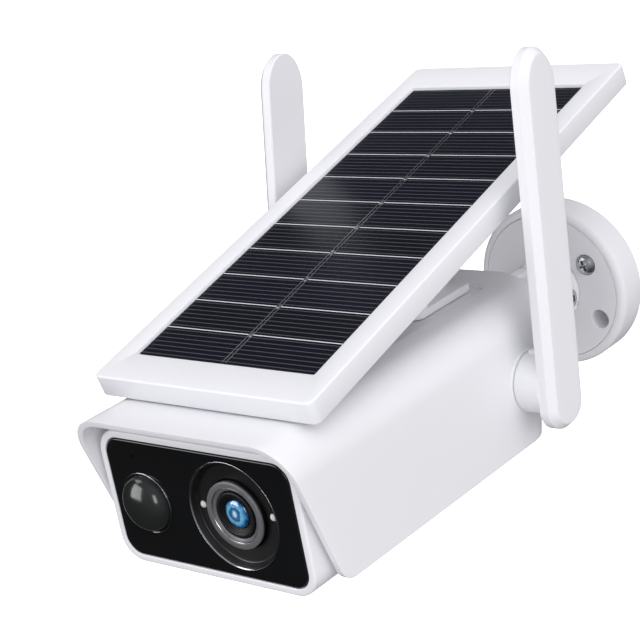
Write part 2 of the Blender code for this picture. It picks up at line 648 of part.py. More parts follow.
def make_service_side():
    hinge = flap_hinge()
    depth = FLAP_DEPTH - FLAP_THICKNESS / 2
    flap = block("service_flap", (FLAP_WIDTH, depth, FLAP_THICKNESS), "rubber",
                 corner=1.6 * MM, axis=2)
    place(flap, "flap_axis", (hinge.x, hinge.y - depth / 2, hinge.z))
    barrel_length = FLAP_WIDTH - 6 * MM
    barrel = rod("flap_barrel", FLAP_THICKNESS / 2 - 0.02 * MM, barrel_length, sides=16)
    place(barrel, "flap_axis", hinge, ALONG_X)
    join(flap, barrel)
    board_z = board_level() - BOARD_THICKNESS / 2
    low_z = hinge.z + FLAP_THICKNESS / 2 + 1 * MM
    port_length = board_z - FIT_GAP - low_z
    middle_y = hinge.y - FLAP_DEPTH / 2
    port = block("usb_socket", (9 * MM, 3.4 * MM, port_length), "steel", corner=1.2 * MM, axis=2)
    place(port, "roll_axis", (hinge.x + 7 * MM, middle_y, low_z + port_length / 2))
    mouth = block("usb_mouth", (7.8 * MM, 2.2 * MM, port_length), corner=0.8 * MM, axis=2)
    place(mouth, "roll_axis", (hinge.x + 7 * MM, middle_y, low_z))
    cut(port, mouth)
    travel = 0.8 * MM
    stem = port_length - travel
    profile = [(0, stem), (1.2 * MM, stem), (1.2 * MM, 2 * MM), (2 * MM, 2 * MM),
               (2 * MM, 0.3 * MM), (1.7 * MM, 0), (0, 0)]
    place(turned("power_button", profile, "rubber", 20), "roll_axis",
          (hinge.x - 7 * MM, middle_y, low_z))


def board_level():
    return -TUB_HALF_HEIGHT + 10.2 * MM


def make_electronics():
    depth = 74 * MM
    board = block("main_board", (GLASS_WIDTH - 6 * MM, depth, BOARD_THICKNESS), "circuit_board",
                  corner=2 * MM, axis=2)
    place(board, "roll_axis", (0, FRONT_Y + 26 * MM + depth / 2, board_level()))
    speaker_x, speaker_y = speaker_spot()
    profile = [(0, 4 * MM), (6 * MM, 4 * MM), (10 * MM, 1.6 * MM), (10 * MM, 0), (0, 0)]
    place(turned("speaker", profile, "black_plastic", 20), "roll_axis",
          (speaker_x, speaker_y, -TUB_HALF_HEIGHT + TUB_WALL + FIT_GAP))
    cell_radius, cell_length, wall = 9.2 * MM, 65 * MM, 1.6 * MM
    pitch = 2 * cell_radius + 3 * MM
    tray_low = board_level() + BOARD_THICKNESS / 2 + 1 * MM
    tray_height = cell_radius + wall + 2 * MM
    middle_y = FRONT_Y + 76 * MM
    tray = block("battery_holder", (cell_length + 8 * MM, 2 * pitch + 4 * MM, tray_height),
                 "black_plastic", corner=2 * MM, axis=2)
    place(tray, "roll_axis", (0, middle_y, tray_low + tray_height / 2))
    for name, sign in (("battery_front", -1), ("battery_rear", 1)):
        spot = (0, middle_y + sign * pitch / 2, tray_low + wall + cell_radius + 2 * FIT_GAP)
        groove = rod(name + "_groove", cell_radius + 2 * FIT_GAP, cell_length + 2 * MM, sides=20)
        place(groove, "roll_axis", spot, ALONG_X)
        cut(tray, groove)
        profile = [(0, cell_length / 2 + 0.4 * MM), (3 * MM, cell_length / 2 + 0.4 * MM),
                   (3 * MM, cell_length / 2 - 0.6 * MM), (8.4 * MM, cell_length / 2 - 0.6 * MM),
                   (cell_radius, cell_length / 2 - 1.4 * MM), (cell_radius, -cell_length / 2),
                   (0, -cell_length / 2)]
        place(turned(name, profile, "battery_wrap", 20), "roll_axis", spot, ALONG_X)


# ---------------------------------------------------------------- camera front
def make_front():
    lens = (LENS_X, FRONT_Y, LENS_RAISE)
    pir = (PIR_X, FRONT_Y, -PIR_DROP)
    port = (PIR_X - 2.5 * MM, FRONT_Y, GLASS_HEIGHT / 2 - 5.5 * MM)
    pane = block("front_glass", (GLASS_WIDTH, GLASS_THICKNESS, GLASS_HEIGHT), "black_glass",
                 corner=GLASS_CORNER, axis=1)
    place(pane, "roll_axis", (0, FRONT_Y + GLASS_THICKNESS / 2, 0))
    carrier_y = FRONT_Y + GLASS_THICKNESS + FIT_GAP
    carrier_thickness = 2.5 * MM
    carrier = block("front_carrier", (GLASS_WIDTH - 1 * MM, carrier_thickness,
                                      GLASS_HEIGHT - 1 * MM),
                    "black_plastic", corner=GLASS_CORNER - 0.5 * MM, axis=1)
    place(carrier, "roll_axis", (0, carrier_y + carrier_thickness / 2, 0))
    for name, spot, radius in (("lens_hole", lens, LENS_CUP_RADIUS + FIT_GAP),
                               ("pir_hole", pir, PIR_RADIUS + FIT_GAP),
                               ("port_hole", port, LIGHT_PORT_RADIUS)):
        sides = 8 if radius < MM else 36
        for owner in (pane, carrier):
            hole = rod(f"{owner.name}_{name}", radius, 30 * MM, sides=sides)
            place(hole, "roll_axis", spot, ALONG_FRONT)
            cut(owner, hole)
    make_gasket(carrier_y + carrier_thickness + FIT_GAP)
    make_lens(lens)
    make_pir(pir)
    sensor = rod("light_sensor", 1.6 * MM, 2.4 * MM, "black_plastic", sides=16)
    place(sensor, "roll_axis", (port[0], carrier_y + carrier_thickness + FIT_GAP + 1.2 * MM,
                                port[2]), ALONG_FRONT)


def make_gasket(front):
    """A flat ring that seals the carrier inside the tub."""
    thickness = 1 * MM
    gasket = block("front_gasket", (GLASS_WIDTH - 0.4 * MM, thickness, GLASS_HEIGHT - 0.4 * MM),
                   "rubber", corner=GLASS_CORNER - 0.2 * MM, axis=1)
    place(gasket, "roll_axis", (0, front + thickness / 2, 0))
    window = block("gasket_window", (GLASS_WIDTH - 3 * MM, 4 * thickness, GLASS_HEIGHT - 3 * MM),
                   corner=GLASS_CORNER - 1.5 * MM, axis=1)
    place(window, "roll_axis", (0, front, 0))
    cut(gasket, window)


def make_lens(lens):
    x, front, z = lens
    bore = LENS_RING_RADIUS + FIT_GAP
    floor_z = -LENS_CUP_DEPTH
    lip = LENS_CUP_RADIUS - 0.9 * MM
    profile = [(LENS_CUP_RADIUS, -0.2 * MM), (LENS_CUP_RADIUS, floor_z - 1.2 * MM),
               (bore, floor_z - 1.2 * MM), (bore, floor_z), (lip - 0.6 * MM, floor_z),
               (lip, -0.2 * MM)]
    cup = place(turned("lens_cup", profile, "black_plastic", 36), "roll_axis", lens, ALONG_FRONT)
    barrel_front = -2 * MM
    barrel_back = -17 * MM
    ring_inner = LENS_BARREL_RADIUS + 0.4 * MM
    profile = [(LENS_RING_RADIUS - 0.5 * MM, -0.2 * MM), (LENS_RING_RADIUS, -0.7 * MM),
               (LENS_RING_RADIUS, -9 * MM), (ring_inner, -9 * MM), (ring_inner, -1.4 * MM),
               (ring_inner + 1 * MM, -0.2 * MM)]
    place(turned("lens_ring", profile, "grey_metal", 32), "roll_axis", lens, ALONG_FRONT)
    profile = [(LENS_BARREL_RADIUS, barrel_front), (LENS_BARREL_RADIUS, barrel_back),
               (4 * MM, barrel_back), (4 * MM, barrel_front - 5 * MM),
               (LENS_GLASS_RADIUS + FIT_GAP, barrel_front - 5 * MM),
               (LENS_GLASS_RADIUS + FIT_GAP, barrel_front - 1.2 * MM),
               (LENS_BARREL_RADIUS - 1.2 * MM, barrel_front)]
    place(turned("lens_barrel", profile, "black_plastic", 24), "roll_axis", lens, ALONG_FRONT)
    top = barrel_front - 1.2 * MM
    bulge = 1.1 * MM
    profile = [(LENS_GLASS_RADIUS * math.sin(math.radians(a)),
                top - bulge + bulge * math.cos(math.radians(a))) for a in range(0, 91, 30)]
    profile += [(LENS_GLASS_RADIUS, top - 3.5 * MM), (0, top - 3.5 * MM)]
    place(turned("lens_glass", profile, "lens_glass", 20), "roll_axis", lens, ALONG_FRONT)
    for name, sign in (("led_left", -1), ("led_right", 1)):
        spot = (x + sign * LED_SPREAD, front, z + 1 * MM)
        hole = rod(name + "_hole", LED_RADIUS + FIT_GAP, 20 * MM, sides=12)
        place(hole, "roll_axis", spot, ALONG_FRONT)
        cut(cup, hole)
        profile = arc((0, floor_z - LED_RADIUS * 0.4), LED_RADIUS, 90, 0, 3)
        profile[0] = (0, profile[0][1])
        profile += [(LED_RADIUS, floor_z - 5 * MM), (0, floor_z - 5 * MM)]
        place(turned(name, profile, "led_clear", 12), "roll_axis", spot, ALONG_FRONT)
    board_front = front - barrel_back + 2.4 * MM
    chip = block("image_sensor", (7 * MM, 1.4 * MM, 7 * MM), "black_plastic")
    place(chip, "roll_axis", (x, board_front - FIT_GAP - 0.7 * MM, z))
    board = block("sensor_board", (GLASS_WIDTH - 10 * MM, BOARD_THICKNESS, 0.72 * GLASS_HEIGHT),
                  "circuit_board", corner=2 * MM, axis=1)
    place(board, "roll_axis", (0, board_front + BOARD_THICKNESS / 2, 3 * MM))


def make_pir(pir):
    rim = PIR_RADIUS
    inner = rim - 0.45 * MM
    profile = ring(inner, rim, -4 * MM, 0.5 * MM)
    place(turned("pir_ring", profile, "grey_metal", 36), "roll_axis", pir, ALONG_FRONT)
    outside = inner - FIT_GAP
    wall = 0.9 * MM
    profile = [(outside * math.sin(math.radians(a)), PIR_DOME_HEIGHT * math.cos(math.radians(a)))
               for a in range(0, 91, 15)]
    profile += [(outside, -3.5 * MM), (outside - wall, -3.5 * MM)]
    profile += [((outside - wall) * math.sin(math.radians(a)),
                 (PIR_DOME_HEIGHT - wall) * math.cos(math.radians(a))) for a in range(90, 14, -15)]
    profile.append((0, PIR_DOME_HEIGHT - wall))
    place(turned("pir_dome", profile, "smoked_dome", 32), "roll_axis", pir, ALONG_FRONT)
    can = [(0, -2 * MM), (4 * MM, -2 * MM), (4.6 * MM, -2.6 * MM), (4.6 * MM, -7 * MM), (0, -7 * MM)]
    place(turned("pir_sensor", can, "steel", 20), "roll_axis", pir, ALONG_FRONT)


# ---------------------------------------------------------------- antennas
def make_antennas():
    for side, sign in (("left", -1), ("right", 1)):
        frame = "antenna_axis_" + side
        size = (PADDLE_THICKNESS, 2 * PADDLE_HALF_WIDTH, PADDLE_UP + PADDLE_DOWN)
        paddle = block("antenna_" + side, size, "white_housing",
                       corner=PADDLE_HALF_WIDTH - 0.2 * MM, axis=0, segments=6,
                       edge=PADDLE_CHAMFER)
        middle = (sign * PADDLE_THICKNESS / 2, 0, (PADDLE_UP - PADDLE_DOWN) / 2)
        place(paddle, frame, middle, local=True)
        face = HOOD_HALF_WIDTH + LAND_PROUD + FIT_GAP
        inside = HOOD_HALF_WIDTH + LAND_PROUD - LAND_LENGTH
        drum_length = PADDLE_X - face + 1 * MM
        drum = rod(f"drum_{side}", KNUCKLE_DRUM_RADIUS, drum_length, sides=24)
        place(drum, frame, (sign * (1 * MM - drum_length / 2), 0, 0), ALONG_X, local=True)
        spigot_end = inside - 3 * MM
        spigot_length = PADDLE_X - spigot_end
        spigot = rod(f"spigot_{side}", SPIGOT_RADIUS, spigot_length, sides=20)
        place(spigot, frame, (-sign * spigot_length / 2, 0, 0), ALONG_X, local=True)
        groove_x = inside - FIT_GAP - 0.8 * MM
        groove = turned(f"groove_{side}", ring(SPIGOT_RADIUS - 1 * MM, SPIGOT_RADIUS + 2 * MM,
                                               -0.8 * MM, 0.8 * MM), steps=20)
        place(groove, frame, (sign * (groove_x - PADDLE_X), 0, 0), ALONG_X, local=True)
        lead_hole = rod(f"lead_hole_{side}", 1.5 * MM, 2 * spigot_length - 14 * MM, sides=10)
        place(lead_hole, frame, (-sign * spigot_length, 0, 0), ALONG_X, local=True)
        join(paddle, drum, spigot, solver="MANIFOLD")
        cut(paddle, groove, lead_hole, solver="MANIFOLD")
        clip = turned("antenna_clip_" + side,
                      ring(SPIGOT_RADIUS - 1 * MM + FIT_GAP, SPIGOT_RADIUS + 3.6 * MM,
                           -0.5 * MM, 0.5 * MM), "steel", 20)
        place(clip, frame, (sign * (groove_x - PADDLE_X), 0, 0), ALONG_X, local=True)


# ---------------------------------------------------------------- solar panel
def on_panel(item, u, v, h, turn=None):
    """Place by position across, along and above the cells."""
    return place(item, "panel_axis", (u, v - HINGE_V, h + HINGE_DROP), turn, local=True)


def make_panel_frame():
    length = PANEL_REAR_V - PANEL_FRONT_V
    middle = (PANEL_REAR_V + PANEL_FRONT_V) / 2
    frame = block("panel_frame", (2 * PANEL_HALF_WIDTH, length, PANEL_THICKNESS), "white_panel",
                  corner=PANEL_CORNER, axis=2, edge=PANEL_EDGE)
    on_panel(frame, 0, middle, PANEL_TOP_H - PANEL_THICKNESS / 2)
    field_middle = CELL_FIELD / 2
    recess_floor = -CELL_THICKNESS - BACKSHEET_THICKNESS - 2 * FIT_GAP
    recess = block("panel_recess", (CELL_WIDTH + 2 * RECESS_BORDER,
                                    CELL_FIELD + 2 * RECESS_BORDER,
                                    2 * (RECESS_DEPTH - recess_floor)))
    on_panel(recess, 0, field_middle, RECESS_DEPTH)
    window = block("panel_window", (CELL_WIDTH - 6 * MM, CELL_FIELD - 6 * MM, 4 * PANEL_THICKNESS))
    on_panel(window, 0, field_middle, 0)
    under_top = recess_floor - 1.6 * MM
    hollow_height = under_top - PANEL_BOTTOM_H
    hollow = block("panel_hollow", (2 * (PANEL_HALF_WIDTH - PANEL_WALL), length - 2 * PANEL_WALL,
                                    2 * hollow_height), corner=1.5 * MM, axis=2)
    on_panel(hollow, 0, middle, PANEL_BOTTOM_H)
    cut(frame, recess, window, hollow)
    back = block("panel_back", (2 * (PANEL_HALF_WIDTH - PANEL_WALL - FIT_GAP),
                                length - 2 * PANEL_WALL - 2 * FIT_GAP, PANEL_BACK_THICKNESS),
                 "white_panel", corner=1.5 * MM, axis=2)
    on_panel(back, 0, middle, PANEL_BOTTOM_H + 0.6 * MM + PANEL_BACK_THICKNESS / 2)


def make_cells():
    sheet_top = -CELL_THICKNESS - FIT_GAP
    sheet = block("panel_backsheet", (CELL_WIDTH + 2 * (RECESS_BORDER - FIT_GAP),
                                      CELL_FIELD + 2 * (RECESS_BORDER - FIT_GAP),
                                      BACKSHEET_THICKNESS), "backsheet")
    on_panel(sheet, 0, CELL_FIELD / 2, sheet_top - BACKSHEET_THICKNESS / 2)
    for row in range(CELL_ROWS):
        cell = block(f"solar_cell_{row + 1:02d}", (CELL_WIDTH, CELL_LENGTH, CELL_THICKNESS),
                     "silicon")
        on_panel(cell, 0, row * CELL_PITCH + CELL_LENGTH / 2, -CELL_THICKNESS / 2)
    ribbon = block("cell_ribbon", (2 * MM, CELL_FIELD - 1 * MM, 0.15 * MM), "silver_ribbon")
    on_panel(ribbon, 0, CELL_FIELD / 2, FIT_GAP + 0.075 * MM)


def make_panel_bracket():
    plate_thickness = 2.5 * MM
    plate_top = PANEL_BOTTOM_H + 0.6 * MM - FIT_GAP
    plate_bottom = plate_top - plate_thickness
    bracket = block("panel_bracket", (2 * (BRACKET_LUG_X + 9 * MM), 34 * MM, plate_thickness),
                    "white_housing", corner=4 * MM, axis=2)
    on_panel(bracket, 0, HINGE_V, plate_top - plate_thickness / 2)
    lug_height = plate_bottom + 1 * MM + HINGE_DROP
    for sign in (-1, 1):
        x = sign * BRACKET_LUG_X
        web = block(f"lug_web_{sign}", (BRACKET_LUG_THICKNESS, 2 * HINGE_KNUCKLE_RADIUS, lug_height))
        on_panel(web, x, HINGE_V, lug_height / 2 - HINGE_DROP)
        eye = rod(f"lug_eye_{sign}", HINGE_KNUCKLE_RADIUS, BRACKET_LUG_THICKNESS, sides=20)
        on_panel(eye, x, HINGE_V, -HINGE_DROP, ALONG_X)
        join(bracket, web, eye)
    hole = rod("bracket_pin_hole", HINGE_PIN_RADIUS + 0.1 * MM, 60 * MM, sides=20)
    on_panel(hole, 0, HINGE_V, -HINGE_DROP, ALONG_X)
    cut(bracket, hole)


def make_hinge_base():
    """The saddle in the hood's pocket: a plate, two gusset ears and a slotted stop tab."""
    hinge = panel_hinge()
    plate_thickness = 3 * MM
    low = HOOD_TOP - POCKET_DEPTH + FIT_GAP
    ear_x = BRACKET_LUG_X + BRACKET_LUG_THICKNESS / 2 + FIT_GAP + BASE_EAR_THICKNESS / 2
    half_width = ear_x + BASE_EAR_THICKNESS / 2 + 8 * MM
    saddle = block("hinge_base", (2 * half_width, 34 * MM, plate_thickness), "white_housing",
                   corner=4 * MM, axis=2)
    place(saddle, "roll_axis", (0, hinge.y, low + plate_thickness / 2))
    height = hinge.z - low
    foot_half = 15 * MM
    for sign in (-1, 1):
        x = sign * ear_x
        shape = bmesh.new()
        bmesh.ops.create_cone(shape, cap_ends=True, segments=4, radius1=foot_half * math.sqrt(2),
                              radius2=HINGE_KNUCKLE_RADIUS * math.sqrt(2), depth=height)
        bmesh.ops.rotate(shape, verts=shape.verts, cent=(0, 0, 0),
                         matrix=Matrix.Rotation(math.radians(45), 3, "Z"))
        for vert in shape.verts:
            vert.co.x = math.copysign(BASE_EAR_THICKNESS / 2, vert.co.x)
        web = make_object(f"ear_web_{sign}", mesh_of("ear_web", shape))
        place(web, "roll_axis", (x, hinge.y, low + height / 2))
        eye = rod(f"ear_eye_{sign}", HINGE_KNUCKLE_RADIUS, BASE_EAR_THICKNESS, sides=20)
        place(eye, "roll_axis", (x, hinge.y, hinge.z), ALONG_X)
        join(saddle, web, eye)
    tab = block("stop_tab", (2.4 * MM, 5 * MM, 9 * MM), corner=1.2 * MM, axis=0)
    tab_spot = Vector((half_width - 2 * MM, hinge.y - 12 * MM, low + 4.6 * MM))
    place(tab, "roll_axis", tab_spot)
    tab_slot = block("tab_slot", (8 * MM, 2 * MM, 3.6 * MM), corner=0.9 * MM, axis=0)
    place(tab_slot, "roll_axis", tab_spot + Vector((0, 0, 1 * MM)))
    hole = rod("base_pin_hole", HINGE_PIN_RADIUS + 0.1 * MM, 80 * MM, sides=20)
    place(hole, "roll_axis", hinge, ALONG_X)
    join(saddle, tab)
    cut(saddle, tab_slot, hole)
    reach = ear_x + BASE_EAR_THICKNESS / 2
    profile = [(0, reach + 3 * MM), (3.4 * MM, reach + 3 * MM), (4.2 * MM, reach + 2.4 * MM),
               (4.2 * MM, reach + FIT_GAP), (HINGE_PIN_RADIUS, reach + FIT_GAP),
               (HINGE_PIN_RADIUS, -reach - 2 * MM), (0, -reach - 2 * MM)]
    place(turned("hinge_pin", profile, "steel", 20), "roll_axis", hinge, ALONG_X)


def main():
    make_materials()
    make_frames()
    make_wall_base()
    make_base_cover()
    for name, degrees in zip(("base_screw_upper", "base_screw_lower"), COVER_SCREW_ANGLES):
        x, z = round_spot(COVER_SCREW_CIRCLE, degrees)
        make_cross_screw(name, x, z, -BASE_DEPTH, 6 * MM)
    make_swivel_hub()
    make_tilt_arm()
    make_tilt_bolt()
    make_camera_stud()
    make_lock_nut()
    finish_hood(make_hood())
    make_rear_cover()
    make_stud_insert()
    make_inner_housing()
    make_service_side()
    make_electronics()
    make_front()
    make_antennas()
    make_panel_frame()
    make_cells()
    make_panel_bracket()
    make_hinge_base()


main()
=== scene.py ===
import json
import math

import bmesh
import bpy
from mathutils import Matrix, Vector


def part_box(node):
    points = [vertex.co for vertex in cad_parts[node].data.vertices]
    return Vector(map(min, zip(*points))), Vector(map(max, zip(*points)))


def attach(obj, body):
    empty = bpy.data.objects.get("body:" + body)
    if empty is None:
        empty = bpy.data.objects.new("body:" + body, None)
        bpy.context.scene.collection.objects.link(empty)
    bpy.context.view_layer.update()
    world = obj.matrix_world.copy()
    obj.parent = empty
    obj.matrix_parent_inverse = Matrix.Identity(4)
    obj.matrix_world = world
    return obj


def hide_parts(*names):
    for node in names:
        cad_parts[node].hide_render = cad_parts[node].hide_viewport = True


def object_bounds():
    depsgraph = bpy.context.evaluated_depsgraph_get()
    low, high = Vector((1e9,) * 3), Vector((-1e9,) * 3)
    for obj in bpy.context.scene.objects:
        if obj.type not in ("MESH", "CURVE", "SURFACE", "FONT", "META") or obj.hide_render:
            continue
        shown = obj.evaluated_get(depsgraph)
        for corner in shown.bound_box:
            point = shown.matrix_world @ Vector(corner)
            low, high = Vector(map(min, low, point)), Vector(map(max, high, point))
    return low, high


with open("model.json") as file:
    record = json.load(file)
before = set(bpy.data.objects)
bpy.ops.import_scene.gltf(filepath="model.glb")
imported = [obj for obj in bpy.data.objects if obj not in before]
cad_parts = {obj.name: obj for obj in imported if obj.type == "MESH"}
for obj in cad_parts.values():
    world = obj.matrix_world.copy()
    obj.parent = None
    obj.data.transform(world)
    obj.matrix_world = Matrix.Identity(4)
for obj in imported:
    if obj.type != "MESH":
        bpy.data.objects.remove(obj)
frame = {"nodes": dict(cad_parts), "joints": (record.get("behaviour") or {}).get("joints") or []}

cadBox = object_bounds()
mm = 0.001
scene = bpy.context.scene
scene.view_settings.view_transform = "Standard"
joints = {joint["name"]: joint for joint in frame["joints"]}


# an sRGB hex colour as the linear values a shader takes
def linear(code):
    parts = [int(code[i:i + 2], 16) / 255 for i in (1, 3, 5)]
    return [p / 12.92 if p <= 0.04045 else ((p + 0.055) / 1.055) ** 2.4 for p in parts] + [1.0]


# an input given a socket is linked, any other value is set on it
def feed(tree, node, inputs):
    for name, value in inputs.items():
        if isinstance(value, bpy.types.NodeSocket):
            tree.links.new(value, node.inputs[name])
        else:
            node.inputs[name].default_value = value


def addNode(tree, kind, inputs, **settings):
    node = tree.nodes.new("ShaderNode" + kind)
    for name, value in settings.items():
        setattr(node, name, value)
    feed(tree, node, inputs)
    return node


def newFinish(name, **inputs):
    finish = bpy.data.materials.new(name)
    finish.use_nodes = True
    shader = finish.node_tree.nodes["Principled BSDF"]
    feed(finish.node_tree, shader, inputs)
    return finish, finish.node_tree, shader


# rounds the corners of a line of (x, y, radius); closed joins its ends
def rounded(points, steps=6, closed=True):
    outline = []
    last = len(points) - 1
    for index, (x, y, radius) in enumerate(points):
        here = Vector((x, y))
        if radius <= 0 or (not closed and index in (0, last)):
            outline.append(here)
            continue
        back = (Vector(points[index - 1][:2]) - here).normalized()
        ahead = (Vector(points[(index + 1) % len(points)][:2]) - here).normalized()
        half = back.angle(ahead) / 2
        centre = here + (back + ahead).normalized() * radius / math.sin(half)
        start = here + back * radius / math.tan(half) - centre
        end = here + ahead * radius / math.tan(half) - centre
        first = math.atan2(start.y, start.x)
        span = math.atan2(start.x * end.y - start.y * end.x, start.dot(end))
        for step in range(steps + 1):
            angle = first + span * step / steps
            outline.append(centre + radius * Vector((math.cos(angle), math.sin(angle))))
    return outline


def rectangle(lowX, highX, lowY, highY, radius, steps=8):
    corners = [(lowX, lowY), (highX, lowY), (highX, highY), (lowX, highY)]
    return rounded([(x, y, radius) for x, y in corners], steps)


# moves a closed, anticlockwise outline inwards by a distance
def inset(outline, distance):
    shrunk = []
    for index, here in enumerate(outline):
        back = (here - outline[index - 1]).normalized()
        ahead = (outline[(index + 1) % len(outline)] - here).normalized()
        bisector = Vector((-back.y - ahead.y, back.x + ahead.x)).normalized()
        shrunk.append(here + bisector * distance / max(0.3, bisector.dot((-back.y, back.x))))
    return shrunk


# a skin of four-sided faces through rings that have one point count
def skin(rings, caps=True, loop=False):
    shape = bmesh.new()
    made = [[shape.verts.new(point) for point in ring] for ring in rings]
    pairs = list(zip(made, made[1:]))
    if loop:
        pairs.append((made[-1], made[0]))
    for near, far in pairs:
        count = len(near)
        for index in range(count):
            after = (index + 1) % count
            shape.faces.new((near[index], near[after], far[after], far[index]))
    if caps:
        shape.faces.new(reversed(made[0]))
        shape.faces.new(made[-1])
    return shape


# an outline in x, y carried up through a profile of (inset, height)
def sweep(outline, profile):
    rings = []
    for distance, height in profile:
        ring = inset(outline, distance) if distance else outline
        rings.append([(point.x, point.y, height) for point in ring])
    return skin(rings)


# the sine and cosine of each step through a quarter turn
def quarter(steps):
    turns = [math.pi / 2 * step / steps for step in range(steps + 1)]
    return [(math.sin(turn), math.cos(turn)) for turn in turns]


# a plate with all its edges rounded over
def slab(outline, low, high, edge=0.3 * mm, steps=3):
    turns = quarter(steps)
    profile = [(edge - edge * rise, low + edge - edge * run) for rise, run in turns]
    profile += [(edge - edge * run, high - edge + edge * rise) for rise, run in turns]
    return sweep(outline, profile)


# a profile of (radius, height, corner radius) turned about Z; loop for a ring
def lathe(profile, steps=96, loop=False, corner=4):
    rings = []
    for point in rounded(profile, corner, loop):
        turns = [2 * math.pi * index / steps for index in range(steps)]
        rings.append([(point.x * math.cos(t), point.x * math.sin(t), point.y) for t in turns])
    shape = skin(rings, False, loop)
    bmesh.ops.remove_doubles(shape, verts=shape.verts, dist=0.001 * mm)
    return shape


def moved(shape, place):
    bmesh.ops.transform(shape, matrix=place, verts=shape.verts)
    return shape


# puts several shapes in one mesh, without joining their skins
def together(*shapes):
    whole = bmesh.new()
    for shape in shapes:
        bmesh.ops.recalc_face_normals(shape, faces=shape.faces)
        mesh = bpy.data.meshes.new("part")
        shape.to_mesh(mesh)
        shape.free()
        whole.from_mesh(mesh)
        bpy.data.meshes.remove(mesh)
    return whole


# cuts one shape with another and gives back the result
def carve(shape, cutter):
    items = []
    for part in (shape, cutter):
        mesh = bpy.data.meshes.new("part")
        bmesh.ops.recalc_face_normals(part, faces=part.faces)
        part.to_mesh(mesh)
        part.free()
        item = bpy.data.objects.new("part", mesh)
        scene.collection.objects.link(item)
        items.append(item)
    step = items[0].modifiers.new("carve", "BOOLEAN")
    step.operation = "DIFFERENCE"
    step.object = items[1]
    graph = bpy.context.evaluated_depsgraph_get()
    result = bmesh.new()
    result.from_mesh(items[0].evaluated_get(graph).data)
    for item in items:
        mesh = item.data
        bpy.data.objects.remove(item)
        bpy.data.meshes.remove(mesh)
    return result


# rounds the edges that turn sharper than an angle
def soften(shape, width, segments=3, angle=50):
    shape.normal_update()
    edges = [edge for edge in shape.edges if len(edge.link_faces) == 2
             and edge.calc_face_angle() > math.radians(angle)]
    bmesh.ops.bevel(shape, geom=edges, offset=width, segments=segments, profile=0.5,
                    affect="EDGES", clamp_overlap=True)
    return shape


def finishPiece(name, shape, finish, body, standsFor=(), place=None, sharp=38,
                turnOut=True):
    if turnOut:
        bmesh.ops.recalc_face_normals(shape, faces=shape.faces)
    mesh = bpy.data.meshes.new(name)
    shape.to_mesh(mesh)
    shape.free()
    item = bpy.data.objects.new(name, mesh)
    scene.collection.objects.link(item)
    item.matrix_world = place or Matrix.Identity(4)
    mesh.materials.append(finish)
    mesh.shade_smooth()
    mesh.set_sharp_from_angle(angle=math.radians(sharp))
    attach(item, body)
    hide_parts(*standsFor)
    return item


# a place on the camera's front: local Z comes out of it, local Y points up
def faceFront(x, y, z):
    return Matrix.Translation((x, y, z)) @ Matrix.Rotation(math.radians(90), 4, "X")


alongX = Matrix.Rotation(math.radians(90), 4, "Y")
# stands a flat plate up in the y, z plane, thick along x
standUp = Matrix(((0, 0, 1, 0), (1, 0, 0, 0), (0, 1, 0, 0), (0, 0, 0, 1)))


# Moulded ABS with a fine spark-eroded grain: an even white that scatters softly,
# with a faint sheen that breaks up over the grain. The grain is 0.25 mm on the
# real part; it is drawn at 0.7 mm, as a finer one would not be resolved.
def mouldedAbs(name, colour, shade, gloss, depth):
    finish, tree, shader = newFinish(name, IOR=1.53)
    spot = addNode(tree, "TexCoord", {}).outputs["Object"]
    cloud = addNode(tree, "TexNoise", {"Vector": spot, "Scale": 1 / (35 * mm), "Detail": 3})
    tone = addNode(tree, "MixRGB", {"Fac": cloud.outputs["Fac"], "Color1": linear(colour),
                                    "Color2": linear(shade)})
    patch = addNode(tree, "TexNoise", {"Vector": spot, "Scale": 1 / (5 * mm), "Detail": 4})
    sheen = addNode(tree, "MapRange", {"Value": patch.outputs["Fac"], "From Min": 0.3,
                                       "From Max": 0.7, "To Min": gloss - 0.03,
                                       "To Max": gloss + 0.04})
    grain = addNode(tree, "TexNoise", {"Vector": spot, "Scale": 1 / (0.7 * mm), "Detail": 2})
    bump = addNode(tree, "Bump", {"Height": grain.outputs["Fac"], "Strength": 0.25,
                                  "Distance": depth})
    feed(tree, shader, {"Base Color": tone.outputs["Color"],
                        "Roughness": sheen.outputs["Result"],
                        "Normal": bump.outputs["Normal"]})
    return finish


# Toughened glass, printed black on its back: a mirror-smooth face over a near
# black depth, with the faintest haze of handling.
def printedGlass():
    finish, tree, shader = newFinish("toughened_glass_printed_black", IOR=1.52)
    spot = addNode(tree, "TexCoord", {}).outputs["Object"]
    haze = addNode(tree, "TexNoise", {"Vector": spot, "Scale": 1 / (14 * mm), "Detail": 5})
    sheen = addNode(tree, "MapRange", {"Value": haze.outputs["Fac"], "From Min": 0.35,
                                       "From Max": 0.75, "To Min": 0.03, "To Max": 0.09})
    ink = addNode(tree, "MixRGB", {"Fac": haze.outputs["Fac"], "Color1": linear("#121314"),
                                   "Color2": linear("#151617")})
    feed(tree, shader, {"Base Color": ink.outputs["Color"],
                        "Roughness": sheen.outputs["Result"]})
    return finish


